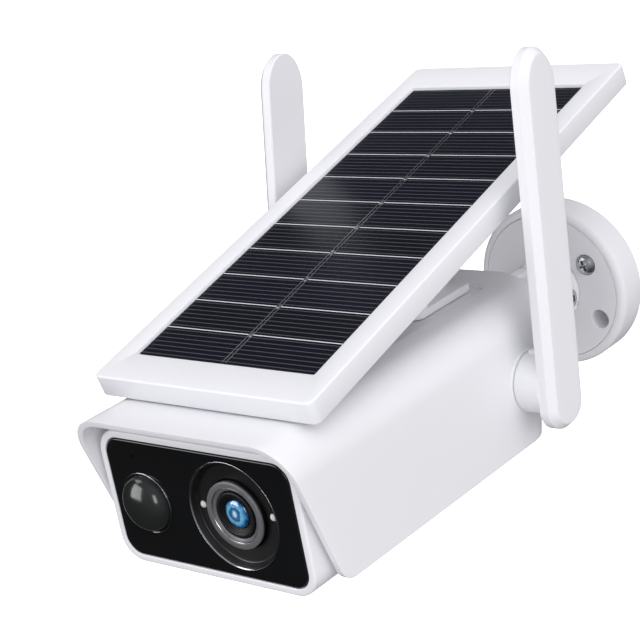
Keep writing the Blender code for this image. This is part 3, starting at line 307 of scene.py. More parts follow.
# Moulded black plastic or rubber: a dark body under a grain that greys the light
def darkMoulding(name, colour, shade, gloss, grainSize, depth):
    finish, tree, shader = newFinish(name, IOR=1.55)
    spot = addNode(tree, "TexCoord", {}).outputs["Object"]
    grain = addNode(tree, "TexNoise", {"Vector": spot, "Scale": 1 / grainSize, "Detail": 4})
    tone = addNode(tree, "MixRGB", {"Fac": grain.outputs["Fac"], "Color1": linear(colour),
                                    "Color2": linear(shade)})
    sheen = addNode(tree, "MapRange", {"Value": grain.outputs["Fac"], "From Min": 0.3,
                                       "From Max": 0.7, "To Min": gloss - 0.05,
                                       "To Max": gloss + 0.05})
    bump = addNode(tree, "Bump", {"Height": grain.outputs["Fac"], "Strength": 0.3,
                                  "Distance": depth})
    feed(tree, shader, {"Base Color": tone.outputs["Color"],
                        "Roughness": sheen.outputs["Result"],
                        "Normal": bump.outputs["Normal"]})
    return finish


# Smoked polyethylene, moulded thin with a polished outside: a grey-green body the
# eye sees a little way into, under a wet-looking gloss.
def smokedDome():
    finish, tree, shader = newFinish("smoked_polyethylene_polished", IOR=1.51)
    spot = addNode(tree, "TexCoord", {}).outputs["Object"]
    cloud = addNode(tree, "TexNoise", {"Vector": spot, "Scale": 1 / (9 * mm), "Detail": 2})
    tone = addNode(tree, "MixRGB", {"Fac": cloud.outputs["Fac"], "Color1": linear("#1f2221"),
                                    "Color2": linear("#2a2d2c")})
    feed(tree, shader, {"Base Color": tone.outputs["Color"], "Roughness": 0.16,
                        "Transmission Weight": 0.12})
    return finish


# A turned metal: fine rings from the tool, which draw the light out sideways.
# The tool's feed is 0.1 mm; the rings are drawn at 0.5 mm to be resolved.
def turnedMetal(name, colour, shade, gloss, depth, metallic=1.0):
    finish, tree, shader = newFinish(name, Metallic=metallic)
    spot = addNode(tree, "TexCoord", {}).outputs["Object"]
    rings = addNode(tree, "TexWave", {"Vector": spot, "Scale": 0.314 / (0.5 * mm),
                                      "Distortion": 0.2}, wave_type="RINGS",
                    rings_direction="Z")
    cloud = addNode(tree, "TexNoise", {"Vector": spot, "Scale": 1 / (2.5 * mm), "Detail": 4})
    tone = addNode(tree, "MixRGB", {"Fac": cloud.outputs["Fac"], "Color1": linear(colour),
                                    "Color2": linear(shade)})
    sheen = addNode(tree, "MapRange", {"Value": cloud.outputs["Fac"], "From Min": 0.3,
                                       "From Max": 0.7, "To Min": gloss - 0.05,
                                       "To Max": gloss + 0.06})
    bump = addNode(tree, "Bump", {"Height": rings.outputs["Fac"], "Strength": 0.2,
                                  "Distance": depth})
    feed(tree, shader, {"Base Color": tone.outputs["Color"],
                        "Roughness": sheen.outputs["Result"],
                        "Normal": bump.outputs["Normal"]})
    return finish


# Polished glass with an anti-reflection coating, its colour holding painted reflections: rings of
# cyan and deep blue painted in for the reflections off each element behind the first, around a
# painted pale highlight spot where the light comes back.
def lensPaintedReflections():
    finish, tree, shader = newFinish("optical_glass_painted_reflections", IOR=1.6)
    spot = addNode(tree, "TexCoord", {}).outputs["Object"]
    ripple = addNode(tree, "TexNoise", {"Vector": spot, "Scale": 1 / (1.6 * mm), "Detail": 3})
    shove = addNode(tree, "MapRange", {"Value": ripple.outputs["Fac"], "From Min": 0.3,
                                       "From Max": 0.7, "To Min": -0.4 * mm, "To Max": 0.4 * mm})
    # the painted highlight's middle sits a little off the lens's axis
    flat = addNode(tree, "VectorMath", {0: spot, 1: (1, 1, 0)}, operation="MULTIPLY")
    middle = addNode(tree, "VectorMath", {0: flat.outputs["Vector"], 1: (-0.2 * mm, 0.3 * mm, 0)},
                     operation="SUBTRACT")
    reach = addNode(tree, "VectorMath", {0: middle.outputs["Vector"]}, operation="LENGTH")
    warped = addNode(tree, "Math", {0: reach.outputs["Value"], 1: shove.outputs["Result"]},
                     operation="ADD")
    share = addNode(tree, "MapRange", {"Value": warped.outputs[0], "From Min": 0,
                                       "From Max": 4.95 * mm})
    # painted reflections: a pale painted highlight in the middle, painted reflection rings of
    # blue and cyan outwards
    paintedReflections = addNode(tree, "ValToRGB", {"Fac": share.outputs["Result"]})
    paintedReflections.color_ramp.elements[0].color = linear("#f2fbff")
    paintedReflections.color_ramp.elements[1].color = linear("#143454")
    for spotAt, code in ((0.14, "#b4e2f4"), (0.26, "#3d7fae"), (0.42, "#234f80"),
                         (0.56, "#7cc0e2"), (0.74, "#4f9fcf"), (0.9, "#2b6596")):
        paintedReflections.color_ramp.elements.new(spotAt).color = linear(code)
    feed(tree, shader, {"Base Color": paintedReflections.outputs["Color"], "Roughness": 0.03,
                        "Coat Weight": 1.0, "Coat Roughness": 0.02})
    return finish


# Clear cast epoxy over a white reflector cup
def clearEpoxy():
    finish, tree, shader = newFinish("clear_epoxy_cast", IOR=1.5)
    spot = addNode(tree, "TexCoord", {}).outputs["Object"]
    cloud = addNode(tree, "TexNoise", {"Vector": spot, "Scale": 1 / (0.8 * mm), "Detail": 1})
    tone = addNode(tree, "MixRGB", {"Fac": cloud.outputs["Fac"], "Color1": linear("#f4f4ee"),
                                    "Color2": linear("#fbfaf4")})
    feed(tree, shader, {"Base Color": tone.outputs["Color"], "Roughness": 0.06,
                        "Transmission Weight": 0.25})
    return finish


# Monocrystalline silicon with a nitride coating, screen-printed with silver
# fingers across each strip: nearly black with a blue cast, a little different
# from strip to strip. The fingers are 0.08 mm wide and drawn at 0.3 mm.
def printedSilicon(tilt, foot, pitch, length):
    finish, tree, shader = newFinish("monocrystalline_silicon_printed", IOR=1.38)
    spot = addNode(tree, "TexCoord", {}).outputs["Object"]
    along = addNode(tree, "VectorMath", {0: spot, 1: (0, math.cos(tilt), math.sin(tilt))},
                    operation="DOT_PRODUCT")
    travel = addNode(tree, "Math", {0: along.outputs["Value"], 1: foot}, operation="SUBTRACT")
    strip = addNode(tree, "Math", {0: travel.outputs[0], 1: pitch}, operation="DIVIDE")
    row = addNode(tree, "Math", {0: strip.outputs[0]}, operation="FLOOR")
    within = addNode(tree, "Math", {0: travel.outputs[0], 1: pitch}, operation="MODULO")
    step = length / 7
    beside = addNode(tree, "Math", {0: within.outputs[0], 1: step}, operation="MODULO")
    away = addNode(tree, "Math", {0: beside.outputs[0], 1: step / 2}, operation="SUBTRACT")
    gap = addNode(tree, "Math", {0: away.outputs[0]}, operation="ABSOLUTE")
    finger = addNode(tree, "MapRange", {"Value": gap.outputs[0], "From Min": 0.1 * mm,
                                        "From Max": 0.24 * mm, "To Min": 1.0, "To Max": 0.0})
    lot = addNode(tree, "TexWhiteNoise", {"W": row.outputs[0]}, noise_dimensions="1D")
    base = addNode(tree, "MixRGB", {"Fac": lot.outputs["Value"], "Color1": linear("#0f1114"),
                                    "Color2": linear("#151624")})
    grown = addNode(tree, "TexNoise", {"Vector": spot, "Scale": 1 / (6 * mm), "Detail": 3})
    mottled = addNode(tree, "MixRGB", {"Fac": grown.outputs["Fac"],
                                       "Color1": base.outputs["Color"],
                                       "Color2": linear("#111420")})
    amount = addNode(tree, "Math", {0: finger.outputs["Result"], 1: 0.42},
                     operation="MULTIPLY")
    printed = addNode(tree, "MixRGB", {"Fac": amount.outputs[0],
                                       "Color1": mottled.outputs["Color"],
                                       "Color2": linear("#7d8087")})
    feed(tree, shader, {"Base Color": printed.outputs["Color"], "Roughness": 0.3})
    return finish


# Solder mask over copper tracks: a green lacquer with a faint paler maze in it
def solderMask():
    finish, tree, shader = newFinish("fibreglass_board_solder_mask", IOR=1.5)
    spot = addNode(tree, "TexCoord", {}).outputs["Object"]
    maze = addNode(tree, "TexBrick", {"Vector": spot, "Scale": 1 / (8 * mm),
                                      "Color1": linear("#0d4a26"), "Color2": linear("#0b4222"),
                                      "Mortar": linear("#1f6b3a")})
    feed(tree, shader, {"Base Color": maze.outputs["Color"], "Roughness": 0.35})
    return finish


# Heat-shrunk PVC sleeve: a smooth blue skin with faint ripples along it
def shrinkSleeve():
    finish, tree, shader = newFinish("pvc_shrink_sleeve", IOR=1.53)
    spot = addNode(tree, "TexCoord", {}).outputs["Object"]
    ripple = addNode(tree, "TexNoise", {"Vector": spot, "Scale": 1 / (3 * mm), "Detail": 2})
    tone = addNode(tree, "MixRGB", {"Fac": ripple.outputs["Fac"], "Color1": linear("#2b64a8"),
                                    "Color2": linear("#275a98")})
    bump = addNode(tree, "Bump", {"Height": ripple.outputs["Fac"], "Strength": 0.3,
                                  "Distance": 0.05 * mm})
    feed(tree, shader, {"Base Color": tone.outputs["Color"], "Roughness": 0.32,
                        "Normal": bump.outputs["Normal"]})
    return finish


# the panel lies on a slope through its first and last strips
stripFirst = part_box("solar_cell_01")
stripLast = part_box("solar_cell_11")
stripRun = sum(stripLast, Vector()) / 2 - sum(stripFirst, Vector()) / 2
panelTilt = math.atan2(stripRun.z, stripRun.y)
stripPitch = stripRun.length / 10
stripLength = 15.6 * mm
alongPanel = Vector((0, math.cos(panelTilt), math.sin(panelTilt)))
offPanel = Vector((0, -math.sin(panelTilt), math.cos(panelTilt)))
stripMiddle = sum(stripFirst, Vector()) / 2
panelCorner = stripMiddle - alongPanel * stripLength / 2 + offPanel * 0.125 * mm
panelPlace = Matrix.Translation(panelCorner) @ Matrix.Rotation(panelTilt, 4, "X")
fieldLength = 10 * stripPitch + stripLength

whiteAbs = mouldedAbs("abs_white_spark_eroded", "#eeeef1", "#ebebee", 0.42, 0.02 * mm)
panelAbs = mouldedAbs("abs_white_panel_frame", "#eeeef1", "#ecedf0", 0.46, 0.02 * mm)
backsheet = mouldedAbs("pet_backsheet_white", "#e6e7ea", "#e1e2e6", 0.5, 0.01 * mm)
blackGlass = printedGlass()
blackPlastic = darkMoulding("polycarbonate_black_moulded", "#08090a", "#0c0d0e", 0.36,
                            0.6 * mm, 0.02 * mm)
rubber = darkMoulding("silicone_rubber_black", "#1c1c1d", "#222224", 0.7, 0.8 * mm, 0.04 * mm)
smoked = smokedDome()
greyMetal = turnedMetal("aluminium_turned_grey_anodised", "#6a6a6c", "#727275", 0.42,
                        0.01 * mm, 0.35)
chrome = turnedMetal("brass_chrome_plated", "#b4b4bd", "#bdbdc5", 0.16, 0.004 * mm)
steel = turnedMetal("steel_zinc_plated", "#c2c4c8", "#cfd1d4", 0.27, 0.008 * mm)
brass = turnedMetal("brass_turned", "#b78f4a", "#c29a55", 0.3, 0.01 * mm)
tinned = turnedMetal("copper_ribbon_tinned", "#c9cace", "#d6d7da", 0.35, 0.01 * mm)
lensGlass = lensPaintedReflections()
epoxy = clearEpoxy()
silicon = printedSilicon(panelTilt, alongPanel.dot(panelCorner), stripPitch, stripLength)
board = solderMask()
sleeve = shrinkSleeve()
finishes = {"white_housing": whiteAbs, "white_panel": panelAbs, "black_glass": blackGlass,
            "black_plastic": blackPlastic, "smoked_dome": smoked, "grey_metal": greyMetal,
            "steel": steel, "brass": brass, "lens_glass": lensGlass, "led_clear": epoxy,
            "silicon": silicon, "silver_ribbon": tinned, "backsheet": backsheet,
            "rubber": rubber, "circuit_board": board, "battery_wrap": sleeve}

# every CAD node that stays in view takes the finish of the slot it is made in
for node in frame["nodes"].values():
    for place in node.material_slots:
        place.material = finishes[place.material.name.split(".")[0]]
print("finishes made")


glassLow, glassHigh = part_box("front_glass")
tubLow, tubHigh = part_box("inner_housing")
hoodLow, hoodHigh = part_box("hood_shell")
frontY = glassLow.y
bossY = joints["camera_roll"]["pos_m"][1]

hood = {"wall": 2.3 * mm, "ridge": 13.4 * mm, "corner": 15 * mm, "setback": 2.1 * mm,
        "frontSlope": 0.318, "rearSlope": 0.26, "landProud": 0.4 * mm, "foot": 4.5 * mm,
        "bossRadius": 13 * mm, "bossProud": 4.5 * mm}
hood["half"] = hoodHigh.x - hood["landProud"]
hood["top"] = hoodHigh.z
hood["low"] = hoodLow.z
hood["rear"] = bossY - hood["bossProud"]


# one side of the hood's wall: rings from the lip to the rear, each an open arch
def hoodRings(wall):
    half = hood["half"] - wall
    top = hood["top"] - wall
    low = hood["low"]
    foot = hood["foot"]
    lift = [0, 0.08, 0.2, 0.4, 0.7, 1.0]
    edge = [(-half, low + foot * share, 0) for share in lift]
    arch = rounded([(-half, low, 0), (-half, top, hood["ridge"] - wall),
                    (half, top, hood["ridge"] - wall), (half, low, 0)], 12, False)
    climb = [Vector((-half, z)) for z in (low + foot + (top - 20 * mm - low) * k / 5
                                          for k in range(1, 5))]
    left = [Vector(point[:2]) for point in edge] + climb
    right = [Vector((-point.x, point.y)) for point in reversed(left)]
    arch = left + arch[1:-1] + right
    corner = hood["corner"] - wall
    rings = []
    for share in (0, 0.04, 0.2, 0.4, 0.6, 0.8, 0.9):
        ring = []
        for point in arch:
            rise = max(0.0, foot - (point.y - low))
            curl = foot - math.sqrt(max(0.0, foot * foot - rise * rise))
            start = frontY + hood["setback"] - hood["frontSlope"] * point.y + curl
            end = hood["rear"] + hood["rearSlope"] * point.y - wall * 1.03 - corner
            ring.append((point.x, start + (end - start) * share, point.y))
        rings.append(ring)
    for step in range(11):
        turn = math.pi / 2 * step / 10
        pull = corner * (1 - math.cos(turn))
        ring = []
        for point in arch:
            x = math.copysign(max(0.0, abs(point.x) - pull), point.x)
            end = hood["rear"] + hood["rearSlope"] * point.y - wall * 1.03 - corner
            ring.append((x, end + corner * math.sin(turn), point.y))
        rings.append(ring)
    return rings


def makeHood():
    shape = bmesh.new()
    loops = []
    for wall in (0.0, hood["wall"]):
        made = [[shape.verts.new(point) for point in ring] for ring in hoodRings(wall)]
        for near, far in zip(made, made[1:]):
            for index in range(len(near) - 1):
                shape.faces.new((near[index], near[index + 1], far[index + 1], far[index]))
        shape.faces.new(made[-1])
        loop = list(made[0])
        loop += [ring[-1] for ring in made[1:]]
        loop += [ring[0] for ring in reversed(made[1:])]
        loops.append(loop)
    outer, inner = loops
    for index in range(len(outer)):
        after = (index + 1) % len(outer)
        shape.faces.new((outer[index], outer[after], inner[after], inner[index]))
    bmesh.ops.recalc_face_normals(shape, faces=shape.faces)
    soften(shape, 0.55 * mm)
    hinge = joints["panel_tilt"]["pos_m"]
    pocket = slab(rectangle(-28 * mm, 28 * mm, hinge[1] - 50 * mm, hinge[1] + 18 * mm, 4 * mm),
                  hood["top"] - 0.8 * mm, hood["top"] + 3 * mm, 0.05 * mm)
    shape = carve(shape, pocket)
    parts = [shape]
    bossLength = hood["bossProud"] + 4 * mm
    boss = lathe([(0, 0, 0), (hood["bossRadius"], 0, 0.8 * mm),
                  (hood["bossRadius"], -bossLength, 0), (0, -bossLength, 0)], 72)
    parts.append(moved(boss, Matrix.Translation((0, bossY, 0))
                       @ Matrix.Rotation(math.radians(-90), 4, "X")))
    for side in ("left", "right"):
        pivot = joints["antenna_" + side + "_turn"]["pos_m"]
        sign = math.copysign(1, pivot[0])
        land = lathe([(0, 0.4 * mm, 0), (11.7 * mm, 0.4 * mm, 0.25 * mm),
                      (11.7 * mm, -4 * mm, 0), (0, -4 * mm, 0)], 72)
        spot = Matrix.Translation((sign * hood["half"], pivot[1], pivot[2]))
        parts.append(moved(land, spot @ Matrix.Rotation(math.radians(90 * sign), 4, "Y")))
    finishPiece("hood", together(*parts), whiteAbs, "camera",
                ["hood_shell"], turnOut=False)


def makeTub():
    tub = {"wall": 2.75 * mm, "corner": 9.25 * mm, "rim": 0.9 * mm}
    speaker = {"apartX": 3 * mm, "apartY": 6 * mm, "wide": 1.2 * mm, "long": 4 * mm,
               "corner": 0.55 * mm, "behindGlass": 38 * mm}
    outline = rectangle(tubLow.x, tubHigh.x, tubLow.z, tubHigh.z, tub["corner"], 12)
    rear = frontY - tubHigh.y
    wall = tub["wall"]
    line = [(1.2 * mm, rear, 0), (0, rear + 1.2 * mm, 0), (0, 0, tub["rim"]),
            (wall, 0, 0.5 * mm), (wall, rear + wall, 0)]
    profile = [tuple(point) for point in rounded(line, 5, False)]
    shape = sweep(outline, profile)
    speakerX, speakerY = tubLow.x / 2, frontY + speaker["behindGlass"]
    moved(shape, faceFront(0, frontY, 0))
    slots = []
    for column in range(-2, 3):
        for row in range(-1, 2):
            x = speakerX + column * speaker["apartX"]
            y = speakerY + row * speaker["apartY"]
            wide, long = speaker["wide"] / 2, speaker["long"] / 2
            slots.append(slab(rectangle(x - wide, x + wide, y - long, y + long,
                                        speaker["corner"], 4),
                              tubLow.z - mm, tubLow.z + 4 * mm, 0))
    flapLow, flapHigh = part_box("service_flap")
    gap = 0.3 * mm
    slots.append(slab(rectangle(flapLow.x - gap, flapHigh.x + gap, flapLow.y - gap,
                                flapHigh.y + gap, 1.6 * mm), tubLow.z - mm,
                      tubLow.z + 4 * mm, 0))
    shape = carve(shape, together(*slots))
    finishPiece("tub", shape, whiteAbs, "camera", ["inner_housing"])


def makeFlap():
    low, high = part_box("service_flap")
    pad = slab(rectangle(low.x, high.x, low.y, high.y - 1 * mm, 1.6 * mm), low.z, high.z,
               0.3 * mm)
    pull = slab(rectangle(low.x + 11 * mm, high.x - 11 * mm, low.y + 0.6 * mm,
                          low.y + 2.4 * mm, 0.8 * mm), low.z - 0.5 * mm, low.z + mm, 0.2 * mm)
    barrel = lathe([(0, low.x + 3 * mm, 0), (0.98 * mm, low.x + 3 * mm, 0.2 * mm),
                    (0.98 * mm, high.x - 3 * mm, 0.2 * mm), (0, high.x - 3 * mm, 0)], 24)
    hinge = joints["flap_hinge"]["pos_m"]
    moved(barrel, Matrix.Translation((0, hinge[1], hinge[2])) @ alongX)
    finishPiece("flap", together(pad, pull, barrel), rubber, "flap",
                ["service_flap"])


makeHood()
makeTub()
makeFlap()
print("housing made")


cupLow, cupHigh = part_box("lens_cup")
pirLow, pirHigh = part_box("pir_ring")
domeLow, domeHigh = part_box("pir_dome")
lensSpot = ((cupLow.x + cupHigh.x) / 2, frontY, (cupLow.z + cupHigh.z) / 2)
pirSpot = ((pirLow.x + pirHigh.x) / 2, frontY, (pirLow.z + pirHigh.z) / 2)


def makeGlass():
    glass = {"corner": 6.5 * mm, "edge": 0.35 * mm, "gap": 0.15 * mm, "port": 0.6 * mm}
    sensorLow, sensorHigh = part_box("light_sensor")
    thickness = glassHigh.y - glassLow.y
    pane = slab(rectangle(glassLow.x, glassHigh.x, glassLow.z, glassHigh.z, glass["corner"],
                          12), -thickness, 0, glass["edge"])
    holes = []
    for spot, radius in ((lensSpot, (cupHigh.x - cupLow.x) / 2 + glass["gap"]),
                         (pirSpot, (pirHigh.x - pirLow.x) / 2 + glass["gap"]),
                         (((sensorLow.x + sensorHigh.x) / 2, 0,
                           (sensorLow.z + sensorHigh.z) / 2), glass["port"])):
        hole = lathe([(0, 2 * mm, 0), (radius, 2 * mm, 0), (radius, -5 * mm, 0),
                      (0, -5 * mm, 0)], 96)
        holes.append(moved(hole, Matrix.Translation((spot[0], spot[2], 0))))
    for hole in holes:
        pane = carve(pane, hole)
    finishPiece("front_pane", pane, blackGlass, "camera", ["front_glass"],
                faceFront(0, frontY, 0))


def makeLens():
    place = faceFront(*lensSpot)
    cupRadius = (cupHigh.x - cupLow.x) / 2
    # heights are below the pane's face, radii from the lens's axis
    lens = {"hoop": 0.55 * mm, "hoopDeep": 2 * mm, "well": 12.2 * mm, "wellDeep": 4.2 * mm,
            "wellFloor": 2.3 * mm, "collar": 11.85 * mm, "collarBore": 10 * mm,
            "collarDeep": 9 * mm, "line": 9.75 * mm, "ring": 11.95 * mm,
            "ringBore": 8.4 * mm, "barrel": 8 * mm, "barrelDeep": 17 * mm, "bore": 4 * mm,
            "mouth": 5.25 * mm, "mouthDeep": 5 * mm, "glass": 4.95 * mm,
            "glassLevel": 1.8 * mm, "crown": 1.1 * mm, "glassDeep": 4.6 * mm}
    edge = cupRadius - lens["hoop"]
    well, wellDeep, wellFloor = lens["well"], -lens["wellDeep"], -lens["wellFloor"]
    cup = lathe([(edge, -0.15 * mm, 0), (edge, wellDeep, 0), (well, wellDeep, 0),
                 (well, wellFloor, 0.2 * mm), (edge - 1.2 * mm, wellFloor, 0.5 * mm),
                 (edge - 0.3 * mm, -0.15 * mm, 0.1 * mm)], 128, True)
    hoopDeep = -lens["hoopDeep"]
    hoop = lathe([(cupRadius, 0.15 * mm, 0.1 * mm), (cupRadius, hoopDeep, 0),
                  (edge, hoopDeep, 0), (edge, -0.35 * mm, 0.05 * mm),
                  (cupRadius - 0.2 * mm, 0.15 * mm, 0.05 * mm)], 128, True)
    finishPiece("lens_hoop", hoop, chrome, "camera", [], place)
    finishPiece("lens_well", cup, blackPlastic, "camera", ["lens_cup"],
                place)
    outer, bore, deep = lens["collar"], lens["collarBore"], -lens["collarDeep"]
    collar = lathe([(outer, -0.9 * mm, 0), (outer, deep, 0), (bore, deep, 0),
                    (bore, -0.9 * mm, 0)], 96, True)
    finishPiece("lens_collar", collar, blackPlastic, "camera", [], place)
    outer, bore = lens["line"], lens["line"] - 0.2 * mm
    line = lathe([(outer, -0.3 * mm, 0.05 * mm), (outer, -1 * mm, 0),
                  (bore, -1 * mm, 0), (bore, -0.5 * mm, 0.05 * mm)], 128, True)
    finishPiece("lens_line", line, chrome, "camera", [], place)
    outer, bore = lens["ring"], lens["ringBore"]
    ring = lathe([(outer, -0.2 * mm, 0.5 * mm), (outer, -1 * mm, 0),
                  (bore, -1.9 * mm, 0), (bore, -1.3 * mm, 0.1 * mm),
                  (9.0 * mm, -0.9 * mm, 0.1 * mm), (9.4 * mm, -0.9 * mm, 0.1 * mm),
                  (9.9 * mm, -0.2 * mm, 0.2 * mm)], 128, True)
    finishPiece("lens_trim", ring, greyMetal, "camera", ["lens_ring"], place)
    outer, bore, mouth = lens["barrel"], lens["bore"], lens["mouth"]
    deep, mouthDeep = -lens["barrelDeep"], -lens["mouthDeep"]
    steps = [(outer, -0.6 * mm, 0.2 * mm), (outer, deep, 0), (bore, deep, 0),
             (bore, mouthDeep, 0), (mouth, mouthDeep, 0), (mouth, -1.9 * mm, 0.1 * mm)]
    # three baffle steps in the mouth keep stray light off the glass
    for count in range(3):
        radius = (5.6 + 0.55 * count) * mm
        level = (-1.9 + 0.4 * count) * mm
        steps.append((radius, level, 0.04 * mm))
        steps.append((radius, level + 0.4 * mm, 0.04 * mm))
    barrel = lathe(steps, 96, True, 2)
    finishPiece("lens_mount", barrel, blackPlastic, "camera",
                ["lens_barrel"], place)
    dome = [(lens["glass"] * rise, lens["crown"] * run - lens["glassLevel"], 0)
            for rise, run in quarter(14)]
    dome += [(lens["glass"], -lens["glassDeep"], 0), (0, -lens["glassDeep"], 0)]
    finishPiece("lens_front", lathe(dome, 96), lensGlass, "camera",
                ["lens_glass"], place)
    for name in ("led_left", "led_right"):
        low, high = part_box(name)
        radius = (high.x - low.x) / 2
        front = frontY - low.y + 0.6 * mm
        bulb = [(radius * rise, front - radius * (1 - run), 0) for rise, run in quarter(8)]
        bulb += [(radius, front - 4 * mm, 0), (0, front - 4 * mm, 0)]
        finishPiece(name + "_lens", lathe(bulb, 40), epoxy, "camera", [name],
                    faceFront((low.x + high.x) / 2, frontY, (low.z + high.z) / 2))


def makePir():
    place = faceFront(*pirSpot)
    pir = {"proud": 0.3 * mm, "band": 0.4 * mm, "ringDeep": 4 * mm, "crown": 0.8 * mm,
           "wall": 0.9 * mm, "domeDeep": 3.5 * mm}
    rim = (pirHigh.x - pirLow.x) / 2
    bore = rim - pir["band"]
    ring = lathe([(rim, pir["proud"], 0.12 * mm), (rim, -pir["ringDeep"], 0),
                  (bore, -pir["ringDeep"], 0), (bore, pir["proud"], 0.12 * mm)], 128, True)
    finishPiece("pir_trim", ring, chrome, "camera", ["pir_ring"], place)
    radius = (domeHigh.x - domeLow.x) / 2
    height = frontY - domeLow.y + pir["crown"]
    wall = pir["wall"]
    line = [(radius * rise, height * run, 0) for rise, run in quarter(24)]
    line += [(radius, -pir["domeDeep"], 0), (radius - wall, -pir["domeDeep"], 0)]
    line += [((radius - wall) * rise, (height - wall) * run, 0)
             for rise, run in reversed(quarter(12))]
    finishPiece("pir_lens", lathe(line, 128), smoked, "camera", ["pir_dome"],
                place)


makeGlass()
makeLens()
makePir()
print("camera front made")


def makePanelFrame():
    panel = {"half": 48.5 * mm, "front": -14.9 * mm, "rear": 17.3 * mm, "top": 0.8 * mm,
             "deep": 8.5 * mm, "corner": 2.8 * mm, "bevel": 0.8 * mm, "border": 1.1 * mm,
             "lip": 0.3 * mm, "shelf": 3 * mm, "wall": 2.2 * mm, "cells": 39 * mm,
             "seat": -1.75 * mm, "ledge": -3.4 * mm}
    top = panel["top"]
    foot = top - panel["deep"]
    half = panel["cells"]
    outline = rectangle(-panel["half"], panel["half"], panel["front"],
                        fieldLength + panel["rear"], panel["corner"], 8)
    border = panel["border"]
    opening = rectangle(-half - border, half + border, -border, fieldLength + border,
                        0.6 * mm, 8)
    shelf = panel["shelf"]
    window = rectangle(-half + shelf, half - shelf, shelf, fieldLength - shelf, 1 * mm, 8)
    rings = [(inset(outline, distance), foot + rise)
             for distance, rise in ((0.8 * mm, 0), (0.25 * mm, 0.2 * mm), (0, 0.8 * mm))]
    bevel = panel["bevel"]
    for rise, run in quarter(6):
        rings.append((inset(outline, bevel * (1 - run)), top - bevel * (1 - rise)))
    lip = panel["lip"]
    rings.append((inset(opening, -lip), top))
    rings.append((inset(opening, -0.1 * mm), top - 0.1 * mm))
    rings.append((opening, top - lip))
    rings.append((opening, panel["seat"]))
    rings.append((window, panel["seat"]))
    rings.append((window, panel["ledge"]))
    rings.append((inset(outline, panel["wall"]), panel["ledge"]))
    rings.append((inset(outline, panel["wall"]), foot))
    shape = skin([[(point.x, point.y, height) for point in ring] for ring, height in rings],
                 False, True)
    finishPiece("panel_surround", shape, panelAbs, "panel", ["panel_frame"],
                panelPlace)


# a white sheet under the strips that comes up between them, level with their tops
def makeBacksheet():
    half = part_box("panel_backsheet")[1].x
    parts = [slab(rectangle(-half, half, -0.8 * mm, fieldLength + 0.8 * mm, 0.4 * mm, 3),
                  -1.75 * mm, -0.55 * mm, 0.1 * mm)]
    for row in range(1, 11):
        v = row * stripPitch - 0.25 * mm
        parts.append(slab(rectangle(-39 * mm, 39 * mm, v - 0.23 * mm, v + 0.23 * mm,
                                    0.05 * mm, 2), -1 * mm, -0.02 * mm, 0.03 * mm, 1))
    finishPiece("white_sheet", together(*parts), backsheet, "panel",
                ["panel_backsheet"], panelPlace)


# two tinned wires down the middle with a solder pad over every gap
def makeRibbon():
    ribbon = {"apart": 0.8 * mm, "wide": 0.36 * mm, "high": 0.16 * mm, "pad": 2.1 * mm}
    parts = []
    for sign in (-1, 1):
        middle = sign * ribbon["apart"]
        parts.append(slab(rectangle(middle - ribbon["wide"] / 2, middle + ribbon["wide"] / 2,
                                    0.5 * mm, fieldLength - 0.5 * mm, 0.15 * mm, 2),
                          0.02 * mm, ribbon["high"], 0.06 * mm, 2))
    for row in range(1, 11):
        v = row * stripPitch - 0.25 * mm
        parts.append(slab(rectangle(-ribbon["apart"], ribbon["apart"], v - ribbon["pad"] / 2,
                                    v + ribbon["pad"] / 2, 0.4 * mm, 3),
                          -0.1 * mm, ribbon["high"] + 0.08 * mm, 0.06 * mm, 2))
    finishPiece("cell_wires", together(*parts), tinned, "panel",
                ["cell_ribbon"], panelPlace)


def makeBracket():
    hinge = Vector(joints["panel_tilt"]["pos_m"])
    local = panelPlace.inverted() @ hinge
    plateTop = -7.7 * mm + 0.3 * mm
    plate = slab(rectangle(-17 * mm, 17 * mm, local.y - 17 * mm, local.y + 17 * mm, 4 * mm),
                 plateTop - 2.5 * mm, plateTop, 0.5 * mm)
    parts = [plate]
    reach = plateTop - 2 * mm - local.z
    for sign in (-1, 1):
        # local x of the lug's outline runs along the panel, local y away from it
        lug = rounded([(-6.5 * mm, -6.5 * mm, 6.4 * mm), (6.5 * mm, -6.5 * mm, 6.4 * mm),
                       (6.5 * mm, reach - 2 * mm, 3 * mm), (9 * mm, reach, 0),
                       (-9 * mm, reach, 0), (-6.5 * mm, reach - 2 * mm, 3 * mm)], 8)
        shape = slab(lug, -2.5 * mm, 2.5 * mm, 0.5 * mm)
        parts.append(moved(shape, Matrix.Translation((sign * 8 * mm, local.y, local.z))
                           @ standUp))
    finishPiece("panel_yoke", together(*parts), whiteAbs, "panel",
                ["panel_bracket"], panelPlace)


